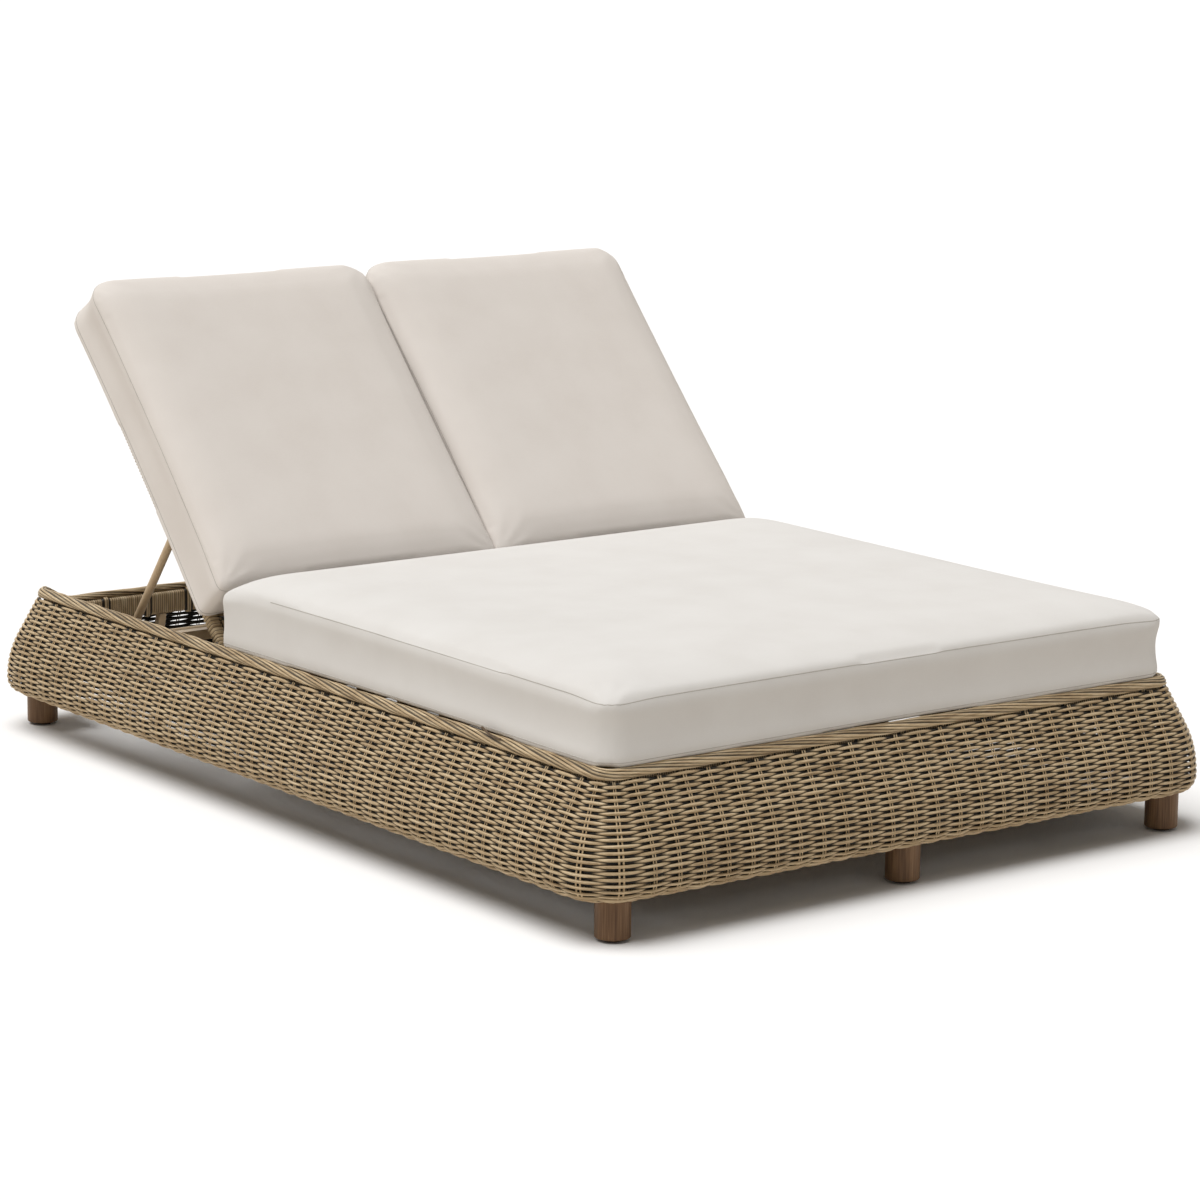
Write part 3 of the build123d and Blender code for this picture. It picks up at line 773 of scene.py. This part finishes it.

# %% [markdown]
# ## Wrapped rails
#
# The rails of the base and of the backrests are tubes wrapped closely in strand. Each is a
# rounded box section carried along X with one rib for every turn of the wrapping, and the kept
# depth is nothing in each groove between two turns, so painted shade darkens every groove. On
# the upper rails a raised band, with painted shade along its edges, covers every second place
# where a pair of stakes is tied on.

# %% Helpers that wrap a tube
wrap_points = 12
wrap_squareness = 0.45


def wrapped_tube(length, across, up, rib_pitch, rib_height):
    """A straight tube along X, wrapped in strand: across is its size in Z, up its size in Y."""
    ribs = round(length / rib_pitch)
    step = length / ribs
    bm = bmesh.new()
    ring, points = start_ring(bm, 1, (0, 0, 0), round_x, wrap_points)
    for point in points:
        turn = math.atan2(point.co.y, point.co.z)
        for axis, size, share in ((1, up, math.sin(turn)), (2, across, math.cos(turn))):
            reach = math.copysign(abs(share) ** wrap_squareness, share) if abs(share) > weld else 0
            point.co[axis] = reach * (size / 2 - rib_height)
    for lift in (rib_height, -rib_height):
        ring, points = extrude_ring(bm, ring, (step / 2, 0, 0))
        for point in points:
            point.co.y *= 1 + lift / (up / 2)
            point.co.z *= 1 + lift / (across / 2)
    made = new_piece("wrapping", bm, wrapped_strand)
    repeat(made, (step, 0, 0), ribs, True)
    take_modified_mesh(made)
    close_ends(made)
    turns = read_points(made.data)[:, 0] / step
    # painted shade: each groove keeps a depth of nothing, so the finish darkens it
    remember_flat_place(made.data, 0, 2 * rib_height * np.abs(turns - np.round(turns)))
    return made


def tie_stakes(piece, spacing, half_width, lift):
    """Raises the wrapping in a narrow band at every spacing along the rail, with painted shade along its
    edges.
    """
    points = read_points(piece.data)
    away = np.abs((points[:, 0] % spacing) - spacing / 2)
    raised = np.clip((half_width - away) / (half_width / 2), 0, 1) * lift
    for axis in (1, 2):
        points[:, axis] += np.sign(points[:, axis]) * raised
    write_points(piece.data, points)
    store = piece.data.attributes["flat_place"].data
    kept = np.empty(points.size)
    store.foreach_get("vector", kept)
    kept = kept.reshape(-1, 3)
    # painted shade: the band's edges get a groove's depth, so the finish darkens them
    kept[np.abs(away - half_width) < tie_edge, 2] = wrapped_gap
    store.foreach_set("vector", kept.ravel())


print("a wrapping rib has", wrap_points * 2 * 2, "triangles")

# %% Wrap the base's rails
base_rib_pitch, base_rib_height = 0.0048, 0.0013
tie_half_width, tie_lift, tie_edge = 0.0060, 0.0030, 0.0013
# rail: outset and height of its middle, its sizes across and up, and whether the rim's drop moves it
base_rails = {
    "upper": (-0.0120, 0.245, 0.015, 0.046, 1),
    "lower": (0.0260, 0.0827, 0.020, 0.025, 0),
}
for side in sides:
    for place, (outset, height, across, up, drops) in base_rails.items():
        turn_radius = rim_radius + outset
        length = side_length(side, turn_radius)
        rail = wrapped_tube(length, across, up, base_rib_pitch, base_rib_height)
        if place == "upper":
            tie_stakes(rail, 2 * length / stake_counts[side], tie_half_width, tie_lift)
        lay_round_rim(rail, side, length, outset, height, turn_radius, drops)
        fit_out(rail, f"wrapped_{place}_rail_{side}", "base", "strand", f"{place}_rail_{side}")

# %% [markdown]
# ## Backrest frames
#
# Each backrest is a wrapped frame with a woven panel, all made flat and then leant back about
# its hinge. X runs up the backrest for the side rails and along the lounger's width for the
# cross rails. The left backrest mirrors the right one.

# %% Helpers that lean a piece back
tilt = math.radians(47.5)
hinge_y, hinge_z = 0.296, 0.270
hands = {"left": -1, "right": 1}


def lean_back(across, along, out):
    """Places in the frame of points across, along and out of the leaning backrest."""
    y = hinge_y + along * math.cos(tilt) - out * math.sin(tilt)
    z = hinge_z + along * math.sin(tilt) + out * math.cos(tilt)
    return np.column_stack((across, y, z))


def set_on_backrest(piece, across, along, out, hand_name, part, replaced):
    """Leans a flat piece back, on its own side, and lets it ride on its backrest."""
    write_points(piece.data, lean_back(hands[hand_name] * across, along, out))
    if hands[hand_name] < 0:
        piece.data.flip_normals()
    node = f"{hand_name}_back_{replaced}"
    fit_out(piece, f"{hand_name}_{part}", f"{hand_name}_backrest", "strand", node)


print("the backrests lean", round(math.degrees(tilt), 1), "degrees up from flat")

# %% Wrap the backrest frames and weave their panels
back_length = 0.6105
rail_size = 0.025
back_x_inner, back_x_outer = 0.008, 0.612
bottom_rail_start = 0.022
back_rib_pitch, back_rib_height = 0.0074, 0.0023
least_taper = 0.02
panel_depth, panel_flatness = 0.0055, 0.42
panel_rows, panel_stakes = 68, 12

rail_middles = {"outer": back_x_outer - rail_size / 2, "inner": back_x_inner + rail_size / 2}
cross_starts = {"bottom": bottom_rail_start, "top": back_length - rail_size}
cross_low = back_x_inner + rail_size
cross_length = back_x_outer - rail_size - cross_low
panel_low = bottom_rail_start + rail_size
panel_length = back_length - rail_size - panel_low
hinge_round = rail_size / 2

for hand_name in hands:
    for place, middle in rail_middles.items():
        rail = wrapped_tube(
            back_length + hinge_round, rail_size, rail_size, back_rib_pitch, back_rib_height
        )
        points = read_points(rail.data)
        along = points[:, 0] - hinge_round
        past = np.clip(-along, 0, None) / hinge_round
        out = points[:, 1] * np.sqrt(np.clip(1 - past * past, least_taper, 1))
        set_on_backrest(
            rail, points[:, 2] + middle, along, out, hand_name, f"wrapped_{place}_rail", f"{place}_rail"
        )
    for place, start in cross_starts.items():
        rail = wrapped_tube(cross_length, rail_size, rail_size, back_rib_pitch, back_rib_height)
        points = read_points(rail.data)
        along = start + rail_size / 2 - points[:, 2]
        set_on_backrest(
            rail, points[:, 0] + cross_low, along, points[:, 1], hand_name,
            f"wrapped_{place}_rail", f"{place}_rail",
        )
    strands = mat_of_strands(cross_length, panel_rows, panel_stakes)
    strand_points = len(strands.data.vertices)
    stakes = mat_of_stakes(cross_length, panel_rows * row_pitch, panel_stakes, 1)
    panel = joined("panel", strands, stakes)
    remember_flat_place(panel.data, 0, weave_depth(panel, strand_points))
    points = read_points(panel.data)
    along = panel_low + points[:, 1] * panel_length / (panel_rows * row_pitch)
    out = points[:, 2] * panel_flatness + panel_depth
    set_on_backrest(panel, points[:, 0] + cross_low, along, out, hand_name, "woven_panel", "panel")
print("a backrest panel has", len(panel.data.polygons), "faces")

# %% [markdown]
# ## Fabric
#
# The covers are a plain off-white linen. Like the strand, the fabric reads each point's place in
# its own cushion, before the cushion is leant back. Two noises stretched across each other give
# it threads with the small thick places that linen has. The seams are a fainter line, coloured
# darker as painted shade of the crease that each sits in.

# %% Make the fabrics
seat_stops = [(0.25, (0.665, 0.650, 0.635)), (0.5, (0.695, 0.684, 0.672)), (0.75, (0.72, 0.712, 0.702))]
back_stops = [(0.25, (0.695, 0.652, 0.618)), (0.5, (0.725, 0.685, 0.654)), (0.75, (0.750, 0.712, 0.682))]
# painted shade: the seam thread is real, but its darker colour stands in for the shade in the seam's
# crease
seam_shade_stops = [(0.3, (0.42, 0.40, 0.37)), (0.7, (0.50, 0.48, 0.45))]
linen_noises = ("flat_place", (9, 9, 9), (130, 1500, 1500))
cross_threads = (1500, 130, 1500)
linen_roughness = 0.85
thread_share = 0.3
thread_bump = 0.0003


def linen_finish(name, stops):
    """A linen finish: threads one way from the finish's own bump, and the other way added."""
    made, place, ramp, shader = finish_from_noise(
        name, stops, linen_noises, thread_share, linen_roughness, thread_bump
    )
    nodes, links = made.node_tree.nodes, made.node_tree.links
    threads = stretched_noise(nodes, links, place, cross_threads, coarse_detail)
    crossing = add_node(nodes, "Bump", Strength=bump_strength, Distance=thread_bump)
    links.new(threads.outputs["Fac"], crossing.inputs["Height"])
    links.new(shader.inputs["Normal"].links[0].from_socket, crossing.inputs["Normal"])
    links.new(crossing.outputs["Normal"], shader.inputs["Normal"])
    return made


seat_linen = linen_finish("seat_linen", seat_stops)
back_linen = linen_finish("back_linen", back_stops)
seam_thread_painted_shade = linen_finish("seam_thread_painted_shade", seam_shade_stops)
print("fabrics:", seat_linen.name, back_linen.name, seam_thread_painted_shade.name)

# %% [markdown]
# ## Soft cushions
#
# Each cushion starts from its CAD form, moved into its own frame: X across, Y along and Z up out
# of its base. A voxel remesh gives it an even cloth, and pressure blows the cloth up while its
# base and the end that it leans on are held. No point may go further than a cap. So short a run
# leaves small dents, so the movement of each point is evened out with its neighbours' before it
# is added to the cushion's form. Sideways it counts only between the seams, which the thread holds.

# %% Helpers that make cloth and blow it up
cloth_frames = 20
cloth_pressure = 4
cloth_quality = 4
calm_share, calm_rounds = 0.5, 40
border_bulge = 0.5


def remeshed_copy(form, name):
    """An even copy of a cushion's CAD node in its own frame."""
    bm = bmesh.new()
    bm.from_mesh(bpy.data.objects[form["node"]].data)
    bmesh.ops.remove_doubles(bm, verts=bm.verts, dist=weld)
    bmesh.ops.transform(bm, matrix=form["place"].inverted(), verts=bm.verts)
    piece = new_piece(name, bm, form["finish"])
    remesh = piece.modifiers.new("even", "REMESH")
    remesh.mode = "VOXEL"
    remesh.voxel_size = form["voxel"]
    remesh.use_smooth_shade = True
    take_modified_mesh(piece)
    return piece


def even_out(moved, held, mesh):
    """The movement of each point, drawn towards the mean of its neighbours' again and again."""
    ends = np.empty(2 * len(mesh.edges), dtype=np.int32)
    mesh.edges.foreach_get("vertices", ends)
    ends = ends.reshape(-1, 2)
    here, there = np.concatenate((ends, ends[:, ::-1])).T
    neighbours = np.bincount(here, minlength=len(moved))
    for _ in range(calm_rounds):
        sums = [np.bincount(here, axis_moved[there], len(moved)) for axis_moved in moved.T]
        moved = moved + calm_share * (np.column_stack(sums) / neighbours[:, None] - moved)
        moved[held] = 0
    return moved


def blow_up(piece, held, form):
    """How far each point of a piece goes in a pressure cloth simulation, within its cap."""
    cap = form["cap"]
    start = read_points(piece.data)
    group = piece.vertex_groups.new(name="held")
    group.add(np.flatnonzero(held).tolist(), 1, "REPLACE")
    cloth = piece.modifiers.new("cloth", "CLOTH")
    cloth.point_cache.frame_start = 1
    cloth.point_cache.frame_end = cloth_frames
    cloth.settings.quality = cloth_quality
    cloth.settings.use_pressure = True
    cloth.settings.uniform_pressure_force = cloth_pressure
    cloth.settings.effector_weights.gravity = 0
    cloth.settings.vertex_group_mass = group.name
    cloth.collision_settings.use_collision = False
    for number in range(1, cloth_frames + 1):
        scene.frame_set(number)
    take_modified_mesh(piece)
    scene.frame_set(1)
    piece.vertex_groups.clear()
    moved = read_points(piece.data) - start
    length = np.linalg.norm(moved, axis=1)
    moved *= (np.tanh(length / cap) * cap / np.maximum(length, weld))[:, None]
    moved = even_out(moved, held, piece.data)
    low, high = form["seams"]
    up = np.clip((start[:, 2] - low) / (high - low), 0, 1)
    moved[:, :2] *= (border_bulge * np.sin(math.pi * up))[:, None]
    return moved


print("cloth runs for", cloth_frames, "frames")

# %% [markdown]
# Pressure alone leaves a soft box. A stuffed cover rises steeply from its seams and is nearly
# flat further in, so the face is lifted by a curve that does the same, from the true distance to
# the cushion's outline. The seams are pinched in, the seat's corners are pulled out and down as
# on a stuffed box cushion, and the cloth near each base sags a little over the rim or rail under
# it. The two back cushions press together down the middle. Last, every cushion keeps clear of the
# ones that it leans on.

# %% Helpers that settle the cloth
side_draw_in = 0.005
edge_round = 0.005
crown_kept = 0.3
pinch_depth, pinch_height = 0.003, 0.008
corner_reach = 0.110
pucker_depth = 0.0014
pucker_count = 14
seam_width = 0.030
sag_reach, sag_fill, sag_lip = 0.030, 0.0065, 0.0035
sag_height, lip_height, lip_width = 0.016, 0.012, 0.014
press_reach, press_fill = 0.045, 0.011


def pillow(distance, reach):
    """Rises steeply from nothing at an edge to one at this reach, as a quarter of a round does."""
    share = np.clip(distance / reach, 0, 1)
    return np.sqrt(share * (2 - share))


def outline_distances(points, form):
    """How far points lie inside the two pairs of sides, and inside the rounded outline."""
    half_width, half_length = form["half"]
    x, y = np.abs(points[:, 0]), np.abs(points[:, 1])
    corner = np.where(points[:, 1] < 0, *form["corners"])
    from_x = half_width - side_draw_in * (1 - np.clip(y / half_length, 0, 1) ** 2) - x
    from_y = half_length - side_draw_in * (1 - np.clip(x / half_width, 0, 1) ** 2) - y
    past = np.hypot(np.clip(corner - from_x, 0, None), np.clip(corner - from_y, 0, None))
    return from_x, from_y, np.where(past > 0, corner - past, np.minimum(from_x, from_y))


def plump_face(points, form):
    """Lifts the face above the cushion's sides to a stuffed curve, and keeps some of its own."""
    from_x, from_y, edge = outline_distances(points, form)
    above = points[:, 2] - form["side_top"]
    rise = form["crown"] * pillow(edge - edge_round, form["reach"])
    rise = rise * pillow(np.maximum(from_x, from_y) - edge_round, form["reach"]) + crown_kept * above
    points[:, 2] = np.where(above > 0, form["side_top"] + rise, points[:, 2])
    return points


def pinch_seams(points, form):
    """Draws the cloth in along both seams."""
    from_x, from_y, edge = outline_distances(points, form)
    for height in form["seams"]:
        depth = pinch_depth * np.exp(-(((points[:, 2] - height) / pinch_height) ** 2))
        points[:, 0] -= np.sign(points[:, 0]) * depth * np.exp(-np.abs(from_x) / pinch_height)
        points[:, 1] -= np.sign(points[:, 1]) * depth * np.exp(-np.abs(from_y) / pinch_height)
    return points


def pull_corners(points, form):
    """Pulls the top corners out along the seam, lets them down and puckers the cloth."""
    from_x, from_y, edge = outline_distances(points, form)
    near = np.clip(1 - np.hypot(from_x, from_y) / corner_reach, 0, 1)
    above = (points[:, 2] - form["seams"][1]) / seam_width
    at_seam = np.exp(-(above ** 2))
    down = np.where(points[:, 1] < 0, *form["dips"]) * near * near
    pull = np.where(points[:, 1] < 0, *form["pulls"]) * near * at_seam / math.sqrt(2)
    points[:, 0] += np.sign(points[:, 0]) * pull
    points[:, 1] += np.sign(points[:, 1]) * pull
    pucker = np.sin(np.arctan2(from_y, from_x) * pucker_count) * near * (1 - near)
    points[:, 2] -= np.where(above > 0, 1, at_seam) * down + at_seam * 4 * pucker_depth * pucker
    return points


def sag_round_rails(points, form):
    """Lets the cloth near the base sag outwards over the rail or rim that it lies on."""
    low = np.exp(-((points[:, 2] / sag_height) ** 2))
    lip = np.exp(-(((points[:, 2] - lip_height) / lip_width) ** 2))
    for axis, share in enumerate(form["sags"]):
        near = np.clip((np.abs(points[:, axis]) - form["half"][axis]) / sag_reach + 1, 0, 1)
        points[:, axis] += np.sign(points[:, axis]) * share * near * (sag_fill * low + sag_lip * lip)
        points[:, 2] -= form["droop"] * near * near * low
    return points


def settle(points, form):
    """All the moves that a cushion's form asks for, for its cloth and for its seams."""
    points = pinch_seams(plump_face(points, form), form)
    points = sag_round_rails(pull_corners(points, form), form)
    toward = form["pressed"]
    near = np.clip((points[:, 0] * toward - form["half"][0]) / press_reach + 1, 0, 1)
    points[:, 0] += toward * near * press_fill
    return points


def keep_clear(points, form):
    """Stops the cloth short of the cushions beside and behind it."""
    points[:, 0] = np.clip(points[:, 0], *form["width_limits"])
    points[:, 1] = np.clip(points[:, 1], *form["length_limits"])
    return points


print("a seam is pinched in by", pinch_depth, "m")

# %% Helpers that lay a seam
corner_steps, side_steps = 10, 60


def seam_line(form, height):
    """Points along a closed seam, with the cushion's own corner radii and sides drawn in."""
    half_width, half_length = form["half"]
    low, high = form["corners"]
    arcs = []
    corners = ((1, 1, high), (-1, 1, high), (-1, -1, low), (1, -1, low))
    for quarter, (sx, sy, corner) in enumerate(corners):
        turns = math.pi / 2 * (quarter + np.linspace(0, 1, corner_steps + 1))
        x = sx * (half_width - corner) + corner * np.cos(turns)
        y = sy * (half_length - corner) + corner * np.sin(turns)
        arcs.append(np.column_stack((x, y)))
    inwards = ((0, -1), (1, 0), (0, 1), (-1, 0))
    spots = []
    for arc, after, inward in zip(arcs, arcs[1:] + arcs[:1], inwards):
        shares = np.linspace(0, 1, side_steps + 1)[1:-1, None]
        straight = arc[-1] + (after[0] - arc[-1]) * shares
        spots += [arc, straight + np.array(inward) * side_draw_in * 4 * shares * (1 - shares)]
    line = np.concatenate(spots)
    return np.column_stack((line, np.full(len(line), height)))


def tube_through(name, spots, radius, finish, closed):
    """A thin tube through the given places, as a mesh."""
    curve = bpy.data.curves.new(name, "CURVE")
    curve.dimensions = "3D"
    curve.bevel_depth = radius
    curve.bevel_resolution = 1
    curve.use_fill_caps = True
    line = curve.splines.new("POLY")
    line.points.add(len(spots) - 1)
    line.points.foreach_set("co", np.column_stack((spots, np.ones(len(spots)))).ravel())
    line.use_cyclic_u = closed
    holder = bpy.data.objects.new(name, curve)
    scene.collection.objects.link(holder)
    mesh = bpy.data.meshes.new_from_object(holder.evaluated_get(bpy.context.evaluated_depsgraph_get()))
    bpy.data.objects.remove(holder)
    bm = bmesh.new()
    bm.from_mesh(mesh)
    bmesh.ops.recalc_face_normals(bm, faces=bm.faces)
    bpy.data.meshes.remove(mesh)
    piece = new_piece(name, bm, finish)
    piece.data.shade_smooth()
    return piece


print("a seam has", 4 * (corner_steps + side_steps), "places")

# %% Describe the three cushions
seat_origin = (0, -0.3445, 0.2803)
back_middle_across, back_middle_along, back_base_out = 0.3185, 0.4075, 0.0128
middle_gap = 0.0005
free_swell = 0.02
seat_rear_swell = 0.003
seam_tuck = 0.15
seat_half_width, seat_half_length = 0.637, 0.5845
back_half_width, back_half_length = 0.3125, 0.3575

cushions = {
    "seat": {
        "node": "seat_cushion",
        "body": "base",
        "slot": "seat_fabric",
        "finish": seat_linen,
        "place": Matrix.Translation(seat_origin),
        "voxel": 0.009,
        "half": (seat_half_width, seat_half_length),
        "corners": (0.050, 0.014),
        "seams": (0.009, 0.1085),
        "side_top": 0.1107,
        "crown": 0.022,
        "reach": 0.12,
        "cap": 0.010,
        "pulls": (0.006, 0.004),
        "dips": (0.004, 0.014),
        "sags": (0.5, 0.5),
        "droop": 0.003,
        "still_end": 1,
        "pressed": 0,
        "seam_end": seat_half_length - seam_tuck,
        "width_limits": (-seat_half_width - free_swell, seat_half_width + free_swell),
        "length_limits": (-seat_half_length - free_swell, seat_half_length + seat_rear_swell),
    },
}
for hand_name, hand in hands.items():
    origin = lean_back(
        np.array([hand * back_middle_across]), np.array([back_middle_along]), np.array([back_base_out])
    )[0]
    free_side = hand * (back_half_width + free_swell)
    shared_side = hand * (middle_gap - back_middle_across)
    cushions[f"{hand_name}_back"] = {
        "node": f"{hand_name}_back_cushion",
        "body": f"{hand_name}_cushion",
        "slot": "back_fabric",
        "finish": back_linen,
        "place": Matrix.Translation(origin) @ Matrix.Rotation(tilt, 4, "X"),
        "voxel": 0.007,
        "half": (back_half_width, back_half_length),
        "corners": (0.016, 0.055),
        "seams": (0.014, 0.0915),
        "side_top": 0.100,
        "crown": 0.022,
        "reach": 0.075,
        "cap": 0.012,
        "pulls": (0, 0),
        "dips": (0.003, 0.003),
        "sags": (1, 0),
        "droop": 0,
        "still_end": -1,
        "pressed": -hand,
        "seam_end": back_half_length,
        "width_limits": sorted((free_side, shared_side)),
        "length_limits": (-back_half_length - seat_rear_swell, back_half_length + free_swell),
    }
print("cushions:", sorted(cushions))

# %% Make the cushions
still_reach = 0.035
base_depth = 0.0035
thread_radius = 0.0007

for name, form in cushions.items():
    half_length = form["half"][1]
    cushion = remeshed_copy(form, f"{name}_cushion")
    points = read_points(cushion.data)
    still = points[:, 1] * form["still_end"] > half_length - still_reach
    held = still | (points[:, 2] < base_depth)
    swelled = blow_up(cushion, held, form)
    swelled[:, 2] *= np.where(points[:, 2] > form["side_top"], crown_kept, 1)
    write_points(cushion.data, keep_clear(settle(points, form) + swelled, form))
    remember_flat_place(cushion.data)
    smooth = cushion.modifiers.new("smooth", "SUBSURF")
    smooth.levels = smooth.render_levels = 1
    surface = BVHTree.FromObject(cushion, bpy.context.evaluated_depsgraph_get())
    for seam_name, height in zip(("base", "top"), form["seams"]):
        line = seam_line(form, height)
        shown = line[line[:, 1] <= (form["seam_end"] if seam_name == "top" else half_length)]
        laid = keep_clear(settle(shown, form), form)
        spots = [surface.find_nearest(Vector(spot))[0] for spot in laid]
        whole = len(shown) == len(line)
        thread = tube_through("seam", np.array(spots), thread_radius, seam_thread_painted_shade, whole)
        remember_flat_place(thread.data)
        thread.data.transform(form["place"])
        fit_out(thread, f"{name}_cushion_{seam_name}_seam", form["body"], form["slot"])
    cushion.data.transform(form["place"])
    fit_out(cushion, f"{name}_cushion_cover", form["body"], form["slot"], form["node"])
    swell = 1000 * np.linalg.norm(swelled, axis=1).max()
    print(cushion.name, "swelled by up to", round(swell, 1), "mm,", len(points), "points")

# %% [markdown]
# ## The strand's loose tail
#
# Where the weave of the long side was finished off, a short doubled end of strand lies on the
# rim beside the seat cushion. It is one small strand folded back on itself.

# %% Lay the loose tail
tail_x = -0.645
tail_radius = 0.0011
tail_gap = 0.0013
tail_places = [
    (-0.6507, 0.2799), (-0.6308, 0.2794), (-0.6165, 0.2834), (-0.605, 0.2881), (-0.5992, 0.2904)
]
tail_stops = [(0.3, (0.05, 0.03, 0.016)), (0.7, (0.15, 0.10, 0.06))]

tail_finish = finish_from_noise(
    "tail_strand", tail_stops, along_rope, streak_share, strand_roughness, strand_bump
)[0]
there = [(tail_x - tail_gap, y, z) for y, z in tail_places]
back_again = [(tail_x + tail_gap, y, z) for y, z in reversed(tail_places)]
tail = tube_through("tail", np.array(there + back_again), tail_radius, tail_finish, False)
remember_flat_place(tail.data)
fit_out(tail, "strand_tail", "base", "strand")
print("the tail is", round(tail_places[-1][0] - tail_places[0][0], 3), "m long")

# %% [markdown]
# ## Hard parts
#
# The legs, plates, beams, hinges, racks and prop stands keep their CAD shapes and only need
# their finishes. The legs are brown with a printed wood grain that runs up them, the bare tubes
# are powder coated a tan bronze with a fine speckle, the plates and pins are zinc plated, and
# the glides are dark rubber.

# %% Finish the hard parts
leg_stops = [(0.3, (0.07, 0.034, 0.016)), (0.5, (0.17, 0.095, 0.048)), (0.7, (0.27, 0.165, 0.09))]
bronze_stops = [(0.3, (0.50, 0.375, 0.235)), (0.7, (0.64, 0.49, 0.32))]
zinc_stops = [(0.3, (0.48, 0.49, 0.51)), (0.7, (0.66, 0.67, 0.68))]
rubber_stops = [(0.3, (0.014, 0.013, 0.012)), (0.7, (0.035, 0.033, 0.031))]
# slot: colour stops, noise sizes, share of the fine noise, roughness, bump height, metallic
hard_finishes = {
    "brown_leg": (leg_stops, ("object", (45, 45, 5), (420, 420, 14)), 0.5, 0.45, 0.0002, 0),
    "bronze": (bronze_stops, ("object", (25, 25, 25), (1600, 1600, 1600)), 0.4, 0.42, 0.0001, 0),
    "zinc": (zinc_stops, ("object", (60, 60, 60), (900, 900, 900)), 0.4, 0.38, 0.0001, 1),
    "glide": (rubber_stops, ("object", (80, 80, 80), (1200, 1200, 1200)), 0.5, 0.8, 0.0002, 0),
}
finished = {}
for slot_name, (stops, noises, share, roughness, bump_height, metallic) in hard_finishes.items():
    name = f"{slot_name}_finish"
    made = finish_from_noise(name, stops, noises, share, roughness, bump_height, metallic)
    finished[slot_name] = made[0]
count = 0
for entry in frame["record"]["subparts"]:
    if entry["material_slot"] in finished:
        for material_slot in frame["nodes"][entry["node"]].material_slots:
            material_slot.material = finished[entry["material_slot"]]
        count += 1
print(count, "hard parts are finished")
